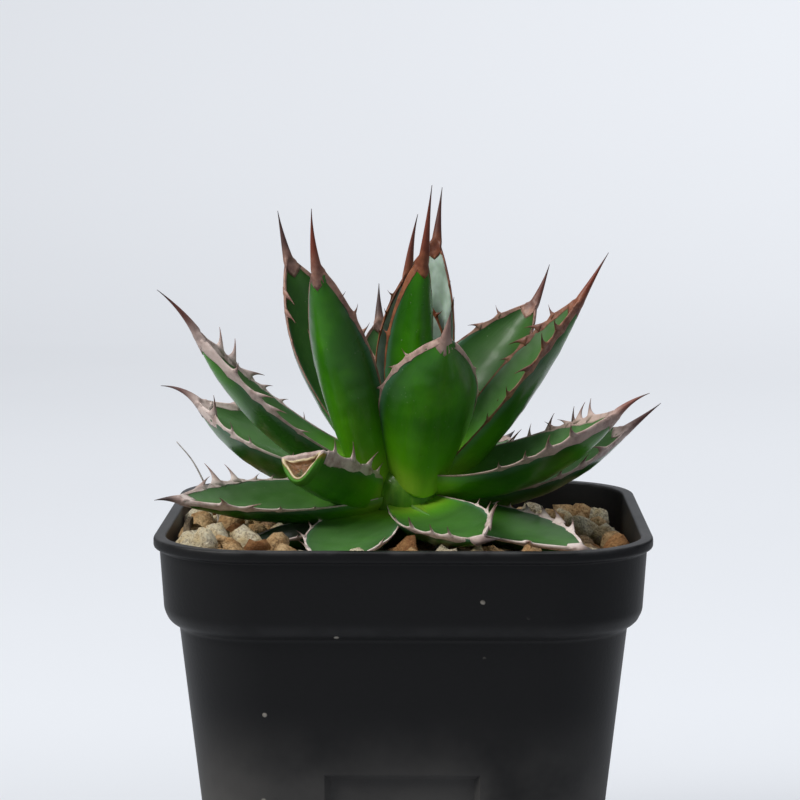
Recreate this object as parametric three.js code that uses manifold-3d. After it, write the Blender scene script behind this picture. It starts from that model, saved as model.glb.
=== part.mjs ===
// A potted Agave horrida: a young rosette of toothed leaves in a square plastic nursery pot.
// Millimetres, +Z up. The origin is the middle of the pot's foot, on the surface that it stands on.
// The front of the pot looks towards -Y. A leaf's heading is its compass turn in degrees,
// counted from +X towards +Y, so that 270 points to the front.

import * as THREE from "three";
import { mergeVertices } from "three/addons/utils/BufferGeometryUtils.js";
import Module from "manifold-3d";

const wasm = await Module();
wasm.setup();

// The air left between two pieces that lie against each other on the real plant
const GAP = 0.3;

// Faces that differ by less than this are made one after a cut
const MERGE_TOLERANCE = 0.05;

// Pot: a square with rounded corners, a plain tapered body, a wider collar and a beaded lip
const POT_HEIGHT = 80;
const FOOT_HALF = 34;
const BODY_TOP_HALF = 40.7;
const COLLAR_HALF = 43.2;
const COLLAR_TOP_HALF = 44;
const LIP_HALF = 45;
const COLLAR_BOTTOM = 65;
const LIP_DEPTH = 2;
const WALL = 1.1;
const FLOOR = 2.4;
const CORNER_AT_FOOT = 14;
const CORNER_AT_LIP = 19;
const CORNER_STEPS = 4;

// The collar steps out from the body over this height, with a rounded edge below and a square lip above
const SHOULDER = 1.5;
const COLLAR_ROUND = 1;
const COLLAR_ROUND_HEIGHT = 1.8;
const LIP_SLOPE = 0.3;

// A shallow blank panel is pressed into each side of the body
const PANEL_WIDTH = 25.6;
const PANEL_TOP = 37.6;
const PANEL_BOTTOM = 14;
const PANEL_DEPTH = 1.5;

// Drain holes stand round the middle of the floor, which stays whole
const DRAIN_RADIUS = 3.2;
const DRAIN_RING = 19;
const DRAIN_COUNT = 8;
const DRAIN_SIDES = 10;

// Substrate: a bed of fine grit with coarse grains lying half sunk in its surface
const BED_TOP = 74;
const GRAIN_PITCH = 7.2;
const GRAIN_RADIUS = 3.4;
const GRAIN_SWAY = 2.4;
const GRAIN_RISE = 1.1;
const GRAIN_SEED = 4711;

// The grains stop this far from the pot's middle, where its round corners begin
const GRAIN_REACH = 52;

// A grain's length, width and height, each as the smallest share of its radius and what chance adds
const GRAIN_SHAPE = [[1, 0.35], [0.9, 0.35], [0.8, 0.25]];
const GRAIN_SIZE = [0.82, 0.36];

// A chip of bark leans on the left wall
const CHIP_SIZE = [1.6, 5, 10];
const CHIP_TURN = [8, 6, 0];
const CHIP_PLACE = [-40, -17, 76.6];

// Heart: the short stem that every leaf grows from, as radius and height
const HEART_PROFILE = [[0, 66], [4, 67], [6.5, 75], [8, 81], [8.2, 85], [6.6, 88.5], [4, 91.2], [0, 92.6]];
const HEART_SIDES = 10;

// Leaves: the places along the midrib where the blade and the space it claims have a section
const BLADE_END = 0.975;
const LEAF_STEPS = [0, 0.12, 0.25, 0.38, 0.5, 0.63, 0.76, 0.88, BLADE_END];
const CLAIM_STEPS = [0.12, 0.25, 0.38, 0.5, 0.7, 0.88, 1];
const SECTION_PLACES = [1, 0.5, 0, -0.5, -1];

// How many short steps the midrib is walked in, over the blade and over the spine
const BLADE_WALK = 24;
const SPINE_WALK = 10;

// A leaf is widest halfway along, has this share of its width at the root, and thins towards its tip
const WIDEST = 0.5;
const ROOT_WIDTH = 0.62;
const ARCH_FULLNESS = 0.9;
const KEEL_FULLNESS = 0.7;
const THINNING_POWER = 1.6;
const LEAF_EDGE = 0.9;
const LEAF_THICKNESS = 4.6;

// The horny margin, its teeth and the spine at the leaf's end
const MARGIN_WIDTH = 0.7;
const MARGIN_THICKNESS = 1.15;
const MARGIN_START = 0.05;
const MARGIN_SEAT = 0.1;
const MARGIN_ABOVE = 0.2;
const MARGIN_INTO_SPINE = 0.25;
const SIDE_ROOM = 0.45;
const LONGEST_STEP = 0.13;
const TOOTH_HALF_BASE = 1.1;
const TOOTH_LENGTH = 2.7;
const SPINE_RADIUS = 1.35;
const SPINE_TIP_RADIUS = 0.1;
const SPINE_STEPS = [-0.012, 0.15, 0.4, 0.7, 1];
const SPINE_SIDES = 5;
const SCAR_START = 0.98;
const SCAR_OVERHANG = 0.5;

// How much wider than a tooth's foot the space is that has to be free for it
const TOOTH_ROOM = 1.4;

// The leaves, from the youngest, upright in the heart, to the oldest, which lies on the grit.
// root is where the midrib leaves the stem, rise is the midrib's slope at the root and at the tip, and
// lift and hook are how far the spine bends on upwards and to the left. Each tooth of the left and the
// right margin is given by its place along the leaf, its length and how far it leans to the tip.
const LEAVES = [
  { heading: 52, rise: [80, 82.6], length: 38.2, width: 16.2, root: [2.1, 3, 92.2],
    spine: 11.4, cup: 0.49, lift: -6, hook: -1, roll: -7,
    left: [[0.74, 1.2, 0.3]],
    right: [[0.71, 2.2, 0.2], [0.81, 1.4, 0.1]] },
  { heading: 122, rise: [86, 94.7], length: 31.5, width: 14, root: [0.5, 3.1, 92.4],
    spine: 13.2, cup: 0.46, lift: 22, hook: -3, roll: 14,
    left: [[0.7, 1.2, 0.2], [0.81, 1.4, 0.4]],
    right: [[0.8, 1.4, 0.2]] },
  { heading: 306.5, rise: [87, 80], length: 36, width: 9.4, root: [0.9, -0.9, 91.5],
    spine: 15.2, cup: 0.62, lift: -2, hook: 0, roll: 13, thickness: 4,
    left: [[0.72, 1.2, 0.3]],
    right: [[0.62, 1.2, 0.2]] },
  { heading: 285.5, rise: [58, 57.5], length: 33.2, width: 18.2, root: [2.7, -5, 86.6],
    spine: 7.2, cup: 0.46, lift: -2, hook: 4, roll: 4,
    left: [[0.55, 1.4, -0.2], [0.73, 1.4, -0.2]],
    right: [[0.19, 1.8, -0.5], [0.29, 1.6, -0.5], [0.39, 1.8, -0.6], [0.57, 1.8, -0.4], [0.73, 1.6, -0.2],
      [0.83, 1.4, 0]] },
  { heading: 38, rise: [43.5, 54.5], length: 41.4, width: 20, root: [3.1, 5, 86.2],
    spine: 9.3, cup: 0.46, lift: 12, hook: 2, roll: -10,
    left: [[0.65, 1.8, 0], [0.81, 2, -0.2], [0.9, 1.6, 0.3]],
    right: [[0.4, 1.8, 0], [0.55, 2.2, 0.2], [0.7, 2.4, -0.1], [0.85, 2, 0.2]] },
  { heading: 0, rise: [43.5, 58.5], length: 41, width: 13, root: [6.2, -1, 87.8],
    spine: 11.6, cup: 0.41, lift: -1, roll: -15,
    left: [[0.61, 1.4, -0.6], [0.73, 2.6, -0.6], [0.82, 2.4, -0.3], [0.9, 1.8, 0.2]],
    right: [[0.35, 1.4, 0.3], [0.5, 2, 0], [0.65, 2.8, -0.3], [0.77, 3.2, 0.1], [0.87, 2.6, 0]] },
  { heading: 105, rise: [50, 66], length: 30.5, width: 15, root: [-1, 6, 88],
    spine: 8.5, hook: -20, teeth: 5 },
  { heading: 236.7, rise: [63, 72.5], bend: 2, length: 44, width: 12.1, root: [-5.8, -3.5, 86.5],
    spine: 11.9, cup: 0.39, lift: 17, hook: -5, roll: -12,
    left: [[0.79, 1.6, 0.7]],
    right: [[0.7, 1.2, 0.2]] },
  { heading: 147, rise: [47.5, 70.5], length: 43.2, width: 17.8, root: [-3.8, 3.1, 89.4],
    spine: 10.6, cup: 0.31, hook: 1, roll: 14.7, stand: 1.5,
    left: [[0.55, 1.2, 0.4], [0.63, 1.3, 0.3], [0.77, 3.2, -0.7], [0.86, 3.4, -0.7]],
    right: [[0.45, 1.6, 0], [0.6, 2, 0], [0.78, 2, 0]] },
  { heading: 82, rise: [16, 30], length: 34, width: 15, root: [1, 6, 85], spine: 8, teeth: 5 },
  { heading: 199, rise: [18, 58], length: 43.4, width: 14.6, root: [-5.5, -1.9, 88.3],
    spine: 12.3, cup: 0.27, lift: -22, hook: -2, roll: 13,
    left: [[0.45, 1.6, -0.4], [0.61, 2.4, -0.6], [0.69, 2.8, -0.2], [0.82, 2.4, 0.1]],
    right: [[0.5, 1.6, -0.4], [0.61, 2, -0.4], [0.71, 3.2, -0.5], [0.81, 3.6, 0.1], [0.89, 3.4, 0.4]] },
  { heading: 338.5, rise: [-5.5, 45], length: 38.8, width: 17.3, root: [5.3, -2.5, 87.8],
    spine: 8.3, cup: 0.39, lift: -26, hook: 1.5, roll: -12.7,
    left: [[0.62, 1.8, -0.2], [0.72, 2, -0.4], [0.79, 2.8, 0.5], [0.87, 2.8, 0.1]],
    right: [[0.45, 1.6, 0], [0.59, 2, 0.2], [0.71, 3, 0.3], [0.83, 2.8, 0.2]] },
  { heading: 10.5, rise: [0, 34], length: 38.1, width: 17.5, root: [6.1, 1, 83.7],
    spine: 9.3, cup: 0.32, lift: 1, hook: -1, roll: -17.4, stand: 0.8,
    left: [[0.47, 1.4, -0.5], [0.57, 2.4, 0.1], [0.67, 3.4, 0.5], [0.81, 3.6, 0.1]],
    right: [[0.45, 1.6, 0], [0.58, 2, 0], [0.71, 2.4, 0.3], [0.85, 3, -0.2]] },
  { heading: 164, rise: [4.5, 46.6], bend: 1.4, length: 37.4, width: 18.2, root: [-6.7, 0.9, 85.7],
    spine: 9.4, cup: 0.53, lift: -50, hook: 1.4, roll: 11, stand: 1.5,
    left: [[0.6, 1.4, 0.3], [0.73, 1.8, 0.4], [0.89, 3.6, 0.1]],
    right: [[0.5, 1.6, 0], [0.65, 2, 0.1], [0.75, 2.4, 0.2], [0.88, 2.4, 0]] },
  { heading: 234, rise: [10, 27], length: 22.5, width: 10.4, root: [-6, -4, 85],
    spine: 0, cup: 0.45, roll: -14, tip: 4.6, thickness: 4.4, thinning: 0.1, stand: 1.2,
    left: [[0.2, 1.8, -0.2], [0.38, 2.8, -0.2], [0.61, 2.8, 0.2], [0.86, 2.2, 0.4]],
    right: [[0.3, 1.4, 0], [0.55, 1.8, 0], [0.82, 2.8, -0.3]] },
  { heading: 60, rise: [4, 12], length: 33, width: 16, root: [3, 6, 85], spine: 5,
    left: [[0.6, 2, 0], [0.85, 2.2, 0]],
    right: [[0.35, 1.6, 0], [0.6, 2, 0.1], [0.78, 2.4, 0]] },
  { heading: 290, rise: [-6, 3], length: 35, width: 15.2, root: [1.2, -6.2, 82.5],
    spine: 7.2, cup: 0.21, lift: 8, hook: 32, roll: -9.6, stand: 2,
    left: [[0.45, 1.2, 0.2], [0.62, 1.6, 0.2], [0.76, 2.8, 0.5], [0.9, 3.6, 0.3]],
    right: [[0.21, 1.2, 0.5], [0.4, 1.4, 0.4], [0.63, 2.6, 0.5], [0.79, 2, 0.5], [0.9, 2, 0.5]] },
  { heading: 205.3, rise: [-6, 10], length: 37.9, width: 16.2, root: [-6.2, -3, 84.2],
    spine: 5.6, cup: 0.2, lift: -20, hook: 2.6, roll: 12,
    left: [[0.4, 1.2, 0], [0.58, 1.6, 0], [0.73, 2.2, -0.2], [0.84, 3.2, 0.2]],
    right: [[0.37, 1.1, -0.4], [0.46, 1.1, -0.4], [0.55, 1.4, -0.4], [0.66, 3, 0], [0.77, 3.6, 0],
      [0.87, 2.6, -0.3]] },
  { heading: 128, rise: [4, 14], length: 34, width: 15, root: [-4, 5, 83.5], spine: 7, teeth: 5 },
  { heading: 316, rise: [-9.7, -3], length: 36.5, width: 18, root: [5.2, -5, 82.7],
    spine: 4.5, cup: 0.08, lift: -2, hook: -3, roll: -3.4,
    left: [[0.14, 1, 0], [0.23, 1.2, 0.1], [0.32, 1.3, -0.2], [0.43, 2.4, -0.5], [0.55, 3, -0.6],
      [0.67, 3.4, -0.6], [0.8, 2.6, -0.2]],
    right: [[0.4, 1.2, 0], [0.6, 1.6, 0.2], [0.82, 3, 0.5]] },
  { heading: 259.5, rise: [-10, -6.7], length: 33, width: 16.2, root: [-6.5, -5.5, 81.4],
    spine: 3, cup: 0.12, roll: -2, stand: 1,
    left: [[0.5, 1.4, 0], [0.72, 1.8, 0]],
    right: [[0.28, 1.2, -0.4], [0.41, 1.2, -0.4], [0.6, 1.6, 0], [0.78, 1.8, 0]] },
  { heading: 156, rise: [-8, -6], length: 30, width: 15, root: [-6, 4, 81], spine: 5, teeth: 4 },
  { heading: 98, rise: [-8, -4], length: 30, width: 15, root: [0, 6, 81], spine: 5, teeth: 4 },
  { heading: 210, rise: [-11, -5], length: 27, width: 12, root: [-5.8, -4.9, 80.5],
    spine: 3, cup: 0.15, teeth: 4 },
];
const DEFAULT_LEAF = {
  bend: 1, lift: 6, hook: 0, roll: 0, cup: 0.38, tip: 1.3, stand: 0.35,
  thickness: LEAF_THICKNESS, thinning: 0.72,
};

// On the leaves behind, which have no list, the teeth stand evenly between these two places
const FIRST_TOOTH = 0.2;
const LAST_TOOTH = 0.88;

// A dry grass fibre stands in the grit behind the left leaves
const FIBRE_PATH = [[-35.6, 2, 72], [-35.7, 2, 79], [-38.2, 2.5, 85], [-40.6, 3, 89.5], [-43.6, 3.6, 93]];
const FIBRE_RADIUS = 0.45;
const FIBRE_SIDES = 5;
const FIBRE_STEPS = 10;

// The leaves up to these numbers are young or middle-aged, and so is their horn
const YOUNG_LEAVES = 2;
const MIDDLE_LEAVES = 12;
const YOUNG_HORNS = 9;

const FINISHES = {
  pot: { color: 0x1d1e20, roughness: 0.45 },
  substrate: { color: 0x9c7a55, roughness: 0.95 },
  heart: { color: 0x9dbb58, roughness: 0.4 },
  fibre: { color: 0x8d8a84, roughness: 0.8 },
  youngLeaf: { color: 0x86a878, roughness: 0.45 },
  middleLeaf: { color: 0x2f6b28, roughness: 0.35 },
  oldLeaf: { color: 0x2c5a26, roughness: 0.35 },
  youngHorn: { color: 0x7a4a38, roughness: 0.55 },
  oldHorn: { color: 0xa89a90, roughness: 0.65 },
};

// Small helpers

const radians = THREE.MathUtils.degToRad;
const mix = THREE.MathUtils.lerp;

function seededRandom(seed) {
  let state = seed >>> 0;
  return () => {
    state = (state + 0x6d2b79f5) >>> 0;
    let mixed = Math.imul(state ^ (state >>> 15), 1 | state);
    mixed = (mixed + Math.imul(mixed ^ (mixed >>> 7), 61 | mixed)) ^ mixed;
    return ((mixed ^ (mixed >>> 14)) >>> 0) / 4294967296;
  };
}

// A closed solid through rings of points. Each ring runs counter-clockwise, seen from the last ring.
function loft(rings) {
  const size = rings[0].length;
  const vertProperties = new Float32Array(rings.flat().flatMap((point) => [point.x, point.y, point.z]));
  const triVerts = [];
  for (let row = 0; row < rings.length - 1; row += 1) {
    for (let column = 0; column < size; column += 1) {
      const a = row * size + column;
      const b = row * size + (column + 1) % size;
      triVerts.push(a, b, b + size, a, b + size, a + size);
    }
  }
  // Each end is closed by a ladder of triangles between the ring's two halves
  const last = (rings.length - 1) * size;
  for (let near = 0, far = size - 1; far - near > 1; near += 1, far -= 1) {
    triVerts.push(near, far, near + 1);
    triVerts.push(last + near, last + near + 1, last + far);
    if (far - near > 2) {
      triVerts.push(near + 1, far, far - 1);
      triVerts.push(last + near + 1, last + far - 1, last + far);
    }
  }
  return new wasm.Manifold(new wasm.Mesh({
    numProp: 3,
    vertProperties,
    triVerts: new Uint32Array(triVerts),
  }));
}

// A three.js geometry that is closed, as a solid
function solidOf(geometry) {
  geometry.deleteAttribute("normal");
  geometry.deleteAttribute("uv");
  const merged = mergeVertices(geometry, 1e-4);
  return new wasm.Manifold(new wasm.Mesh({
    numProp: 3,
    vertProperties: new Float32Array(merged.attributes.position.array),
    triVerts: new Uint32Array(merged.index.array),
  }));
}

// What a cut leaves in one piece: the largest body, without the scraps
function largest(solid) {
  const bodies = solid.simplify(MERGE_TOLERANCE).decompose();
  bodies.sort((one, other) => other.volume() - one.volume());
  return bodies[0];
}

function polygon(sides, radius) {
  return Array.from({ length: sides }, (unused, corner) => {
    const angle = 2 * Math.PI * corner / sides;
    return [radius * Math.cos(angle), radius * Math.sin(angle)];
  });
}

function meshOf(name, solid, finish) {
  const result = solid.getMesh();
  const geometry = new THREE.BufferGeometry();
  geometry.setAttribute("position", new THREE.BufferAttribute(new Float32Array(result.vertProperties), 3));
  geometry.setIndex(new THREE.BufferAttribute(new Uint32Array(result.triVerts), 1));
  geometry.computeVertexNormals();
  const mesh = new THREE.Mesh(geometry, new THREE.MeshStandardMaterial({ ...finish, metalness: 0 }));
  mesh.name = name;
  return mesh;
}

// Pot and substrate

function roundedSquare(half, corner, height) {
  const points = [];
  for (let quarter = 0; quarter < 4; quarter += 1) {
    const middle = (half - corner) * Math.SQRT2;
    const diagonal = radians(45 + 90 * quarter);
    for (let step = 0; step <= CORNER_STEPS; step += 1) {
      const angle = radians(90 * quarter + 90 * step / CORNER_STEPS);
      points.push(new THREE.Vector3(
        middle * Math.cos(diagonal) + corner * Math.cos(angle),
        middle * Math.sin(diagonal) + corner * Math.sin(angle),
        height,
      ));
    }
  }
  return points;
}

function bodyHalfAt(height) {
  return mix(FOOT_HALF, BODY_TOP_HALF, height / COLLAR_BOTTOM);
}

function cornerAt(height) {
  return mix(CORNER_AT_FOOT, CORNER_AT_LIP, height / POT_HEIGHT);
}

// The pot's inside. With shrink above 0 it is the same space, drawn in on every side.
function potInside(top, shrink) {
  const shoulder = COLLAR_BOTTOM + SHOULDER;
  const stations = [
    [bodyHalfAt(FLOOR) - WALL, FLOOR + shrink],
    [bodyHalfAt(COLLAR_BOTTOM) - WALL, COLLAR_BOTTOM],
    [COLLAR_HALF - WALL, shoulder],
    [mix(COLLAR_HALF, COLLAR_TOP_HALF, (top - shoulder) / (POT_HEIGHT - shoulder)) - WALL, top],
  ];
  return loft(stations.map(([half, height]) => (
    roundedSquare(half - shrink, cornerAt(height) - WALL - shrink, height))));
}

// Four wedges, one on each side, which reach in from outside to the given depth under the surface
function sidePanels(depth, widen) {
  const outline = [
    [bodyHalfAt(PANEL_BOTTOM) - depth, PANEL_BOTTOM - widen],
    [LIP_HALF, PANEL_BOTTOM - widen],
    [LIP_HALF, PANEL_TOP + widen],
    [bodyHalfAt(PANEL_TOP) - depth, PANEL_TOP + widen],
  ];
  const shape = new THREE.Shape(outline.map(([out, height]) => new THREE.Vector2(out, height)));
  const width = PANEL_WIDTH + 2 * widen;
  const geometry = new THREE.ExtrudeGeometry(shape, { depth: width, bevelEnabled: false });
  geometry.rotateX(Math.PI / 2);
  geometry.translate(0, width / 2, 0);
  const panel = solidOf(geometry);
  return [90, 180, 270].reduce((all, turn) => all.add(panel.rotate([0, 0, turn])), panel);
}

function makePot() {
  const outside = loft([
    roundedSquare(FOOT_HALF, CORNER_AT_FOOT, 0),
    roundedSquare(BODY_TOP_HALF, cornerAt(COLLAR_BOTTOM) - 2 * COLLAR_ROUND, COLLAR_BOTTOM - COLLAR_ROUND),
    roundedSquare(COLLAR_HALF - COLLAR_ROUND, cornerAt(COLLAR_BOTTOM) - COLLAR_ROUND, COLLAR_BOTTOM),
    roundedSquare(COLLAR_HALF, cornerAt(COLLAR_BOTTOM), COLLAR_BOTTOM + COLLAR_ROUND_HEIGHT),
    roundedSquare(COLLAR_TOP_HALF, CORNER_AT_LIP, POT_HEIGHT - LIP_DEPTH),
    roundedSquare(LIP_HALF, CORNER_AT_LIP, POT_HEIGHT - LIP_DEPTH + LIP_SLOPE),
    roundedSquare(LIP_HALF, CORNER_AT_LIP, POT_HEIGHT),
  ]);
  const inside = potInside(POT_HEIGHT + 1, 0).subtract(sidePanels(PANEL_DEPTH + WALL, WALL));
  let pot = outside.subtract(inside).subtract(sidePanels(PANEL_DEPTH, 0));
  for (let hole = 0; hole < DRAIN_COUNT; hole += 1) {
    const angle = radians(360 * (hole + 0.5) / DRAIN_COUNT);
    const geometry = new THREE.CylinderGeometry(DRAIN_RADIUS, DRAIN_RADIUS, 4 * FLOOR, DRAIN_SIDES);
    geometry.rotateX(Math.PI / 2);
    geometry.translate(DRAIN_RING * Math.cos(angle), DRAIN_RING * Math.sin(angle), 0);
    pot = pot.subtract(solidOf(geometry));
  }
  return largest(pot);
}

function between([least, more], random) {
  return least + more * random();
}

function grain(random, radius) {
  const geometry = new THREE.OctahedronGeometry(radius, 0);
  geometry.rotateX(Math.PI / 4);
  geometry.scale(...GRAIN_SHAPE.map((share) => between(share, random)));
  geometry.rotateX(random() - 0.5);
  geometry.rotateZ(2 * Math.PI * random());
  return solidOf(geometry);
}

// Grains are left out where a leaf lies. The bed has a plain hole for what stands in it.
function makeSubstrate(standing, leaves) {
  const random = seededRandom(GRAIN_SEED);
  const bed = potInside(BED_TOP, GAP).subtract(sidePanels(PANEL_DEPTH + WALL + GAP, WALL + GAP));
  const reach = COLLAR_HALF - WALL - GRAIN_RADIUS - GAP;
  const grains = [];
  for (let y = -reach; y <= reach; y += GRAIN_PITCH) {
    for (let x = -reach; x <= reach; x += GRAIN_PITCH) {
      const place = [
        x + GRAIN_SWAY * (random() - 0.5),
        y + GRAIN_SWAY * (random() - 0.5),
        BED_TOP + GRAIN_RISE * random(),
      ];
      const stone = grain(random, GRAIN_RADIUS * between(GRAIN_SIZE, random)).translate(place);
      if (Math.hypot(x, y) < GRAIN_REACH && stone.intersect(leaves).isEmpty()) {
        grains.push(stone);
      }
    }
  }
  const chip = solidOf(new THREE.BoxGeometry(...CHIP_SIZE)).rotate(CHIP_TURN).translate(CHIP_PLACE);
  const room = potInside(POT_HEIGHT + CHIP_SIZE[1], GAP);
  const heap = wasm.Manifold.union([bed, chip, ...grains]).intersect(room);
  return largest(heap.subtract(standing));
}

// The heart. With grow above 0 it is the same solid, larger all round.
function makeHeart(grow) {
  const profile = HEART_PROFILE.map(([radius, height]) => {
    const end = height === HEART_PROFILE[0][1] ? -grow : grow;
    return new THREE.Vector2(radius === 0 ? 0 : radius + grow, radius === 0 ? height + end : height);
  });
  const geometry = new THREE.LatheGeometry(profile, HEART_SIDES);
  geometry.rotateX(Math.PI / 2);
  return solidOf(geometry);
}

// Leaves

// Slope and heading of the midrib: along runs 0 to 1 over the blade and 1 to 2 over the end spine
function directionAt(leaf, along) {
  const onBlade = THREE.MathUtils.clamp(along, 0, 1);
  const onSpine = Math.max(along - 1, 0);
  const slope = radians(mix(leaf.rise[0], leaf.rise[1], onBlade ** leaf.bend) + leaf.lift * onSpine);
  const turn = radians(leaf.heading + leaf.hook * onSpine);
  return new THREE.Vector3(
    Math.cos(slope) * Math.cos(turn), Math.cos(slope) * Math.sin(turn), Math.sin(slope));
}

// The midrib's point there, with the directions ahead, up (the leaf's upper face) and left
function frameAt(leaf, along) {
  const point = new THREE.Vector3(...leaf.root);
  const walk = (from, to, size, steps) => {
    for (let step = 0; step < steps; step += 1) {
      const middle = from + (to - from) * (step + 0.5) / steps;
      point.addScaledVector(directionAt(leaf, middle), size * (to - from) / steps);
    }
  };
  walk(0, Math.min(along, 1), leaf.length, BLADE_WALK);
  if (along > 1) {
    walk(1, along, leaf.spine, SPINE_WALK);
  }
  const ahead = directionAt(leaf, along);
  const turn = radians(leaf.heading + leaf.hook * Math.max(along - 1, 0));
  const level = new THREE.Vector3(-Math.sin(turn), Math.cos(turn), 0);
  const upright = new THREE.Vector3().crossVectors(ahead, level);
  const roll = radians(leaf.roll);
  const up = upright.clone().multiplyScalar(Math.cos(roll)).addScaledVector(level, Math.sin(roll));
  const left = level.clone().multiplyScalar(Math.cos(roll)).addScaledVector(upright, -Math.sin(roll));
  return { point, ahead, up, left };
}

// Half the leaf's width: it grows from the root to the widest place, and draws in along a pointed arch
function halfWidthAt(leaf, along) {
  const half = leaf.width / 2;
  if (along < WIDEST) {
    return half * mix(ROOT_WIDTH, 1, Math.sin(Math.PI / 2 * Math.max(along, 0) / WIDEST));
  }
  const rest = Math.min((along - WIDEST) / (1 - WIDEST), 1);
  return mix(leaf.tip, half, Math.cos(Math.PI / 2 * rest) ** ARCH_FULLNESS);
}

function thicknessAt(leaf, along) {
  return leaf.thickness * (1 - leaf.thinning * Math.max(along, 0) ** THINNING_POWER);
}

// The leaf's section: hollowed above and keeled below. With grow above 0 it is thicker, most of all
// below, where the margins hang under the blade's edge. It stops sideRoom short of the leaf's full
// width on each side.
function sectionAt(leaf, along, grow, sideRoom) {
  const { point, up, left } = frameAt(leaf, along);
  const edge = halfWidthAt(leaf, along);
  const half = edge - sideRoom;
  const keel = thicknessAt(leaf, along) - LEAF_EDGE;
  const underside = (side) => -LEAF_EDGE - keel * (1 - side * side) ** KEEL_FULLNESS - 2 * grow;
  const at = (side, depth) => point.clone()
    .addScaledVector(left, side * half)
    .addScaledVector(up, leaf.cup * half * half / edge * side * side + depth);
  return [
    ...SECTION_PLACES.map((side) => at(side, grow)),
    ...SECTION_PLACES.toReversed().map((side) => at(side, underside(side))),
  ];
}

function makeBlade(leaf) {
  return loft(LEAF_STEPS.map((along) => sectionAt(leaf, along, 0, SIDE_ROOM)));
}

// The space that a leaf claims with its margins, but without its teeth
function makeClaim(leaf) {
  const steps = [-GAP / leaf.length, ...CLAIM_STEPS];
  const body = loft(steps.map((along) => sectionAt(leaf, along, GAP, -MARGIN_WIDTH - GAP)));
  return body.add(makeEnd(leaf, GAP));
}

// The teeth along one side of a leaf, which is 1 for the left and -1 for the right
function teethOf(leaf, side) {
  const rows = side > 0 ? leaf.left : leaf.right;
  if (rows) {
    return rows.map(([along, length, lean]) => ({ along, length, lean }));
  }
  return Array.from({ length: leaf.teeth }, (unused, index) => {
    const sway = Math.sin(2.4 * index + leaf.number + side);
    const along = mix(FIRST_TOOTH, LAST_TOOTH, (index + 0.3 * sway) / (leaf.teeth - 1));
    return { along, length: TOOTH_LENGTH * (0.9 + 0.2 * sway) * (0.5 + 0.5 * along), lean: 0.4 * sway };
  });
}

// The places along a margin where its section is drawn: three for each tooth, and enough between them
function stationsOf(leaf, teeth) {
  const stations = [{ along: MARGIN_START }];
  const halfBase = TOOTH_HALF_BASE / leaf.length;
  const add = (station) => {
    const before = stations.at(-1).along;
    const extra = Math.floor((station.along - before) / LONGEST_STEP);
    for (let index = 1; index <= extra; index += 1) {
      stations.push({ along: mix(before, station.along, index / (extra + 1)) });
    }
    stations.push(station);
  };
  for (const tooth of teeth) {
    add({ along: tooth.along - halfBase });
    stations.push(tooth, { along: tooth.along + halfBase });
  }
  add({ along: BLADE_END });
  stations.push({ along: 1 });
  return stations;
}

// One horny margin: a three-sided strip whose outer ridge rises into the teeth
function makeMargin(leaf, side, teeth) {
  const rings = stationsOf(leaf, teeth).map((station) => {
    const { point, ahead, up, left } = frameAt(leaf, station.along);
    const half = halfWidthAt(leaf, station.along);
    const out = left.clone().multiplyScalar(side).addScaledVector(up, 2 * leaf.cup).normalize();
    const face = new THREE.Vector3().crossVectors(ahead, out).multiplyScalar(side);
    const edge = point.clone().addScaledVector(left, side * half).addScaledVector(up, leaf.cup * half);
    const ridge = edge.clone().addScaledVector(out, MARGIN_WIDTH);
    if (station.length) {
      const aim = out.clone().addScaledVector(up, leaf.stand).addScaledVector(ahead, station.lean);
      ridge.addScaledVector(aim.normalize(), station.length);
    }
    const seat = edge.clone().addScaledVector(out, -MARGIN_SEAT);
    const above = seat.clone().addScaledVector(face, MARGIN_ABOVE);
    const below = seat.clone().addScaledVector(face, MARGIN_ABOVE - MARGIN_THICKNESS);
    return side > 0 ? [ridge, above, below] : [ridge, below, above];
  });
  if (leaf.spine > 0) {
    const atTip = frameAt(leaf, 1).point;
    const inSpine = frameAt(leaf, 1 + MARGIN_INTO_SPINE).point;
    rings.push(rings.at(-1).map((corner) => (
      corner.clone().sub(atTip).multiplyScalar(MARGIN_INTO_SPINE).add(inSpine))));
  }
  return loft(rings);
}

// The end spine, or on a leaf that broke off, the dry scar that closes its blunt end
function makeEnd(leaf, grow) {
  if (leaf.spine === 0) {
    return loft([SCAR_START, 1].map((along) => (
      sectionAt(leaf, along, GAP + grow, -SCAR_OVERHANG - grow))));
  }
  return loft(SPINE_STEPS.map((beyond) => {
    const { point, up, left } = frameAt(leaf, 1 + beyond);
    const radius = SPINE_RADIUS * (1 - Math.max(beyond, 0)) + SPINE_TIP_RADIUS + grow;
    return polygon(SPINE_SIDES, radius).map(([across, height]) => (
      point.clone().addScaledVector(left, across).addScaledVector(up, height)));
  }));
}

// A small wedge in the place of one tooth, to try whether it would stab another leaf
function stabs(leaf, side, tooth, others) {
  const alone = makeMargin(leaf, side, [tooth]);
  const reach = TOOTH_ROOM * TOOTH_HALF_BASE / leaf.length;
  const { point, ahead } = frameAt(leaf, tooth.along);
  const start = frameAt(leaf, tooth.along - reach).point;
  const wedge = alone.trimByPlane([ahead.x, ahead.y, ahead.z], ahead.dot(start))
    .trimByPlane([-ahead.x, -ahead.y, -ahead.z], -ahead.dot(point) - reach * leaf.length);
  return !wedge.intersect(others).isEmpty();
}

// Both margins with the end that joins them
function makeHorn(leaf, others) {
  const margins = [1, -1].map((side) => (
    makeMargin(leaf, side, teethOf(leaf, side).filter((tooth) => !stabs(leaf, side, tooth, others)))));
  return wasm.Manifold.union([...margins, makeEnd(leaf, 0)]);
}

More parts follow.
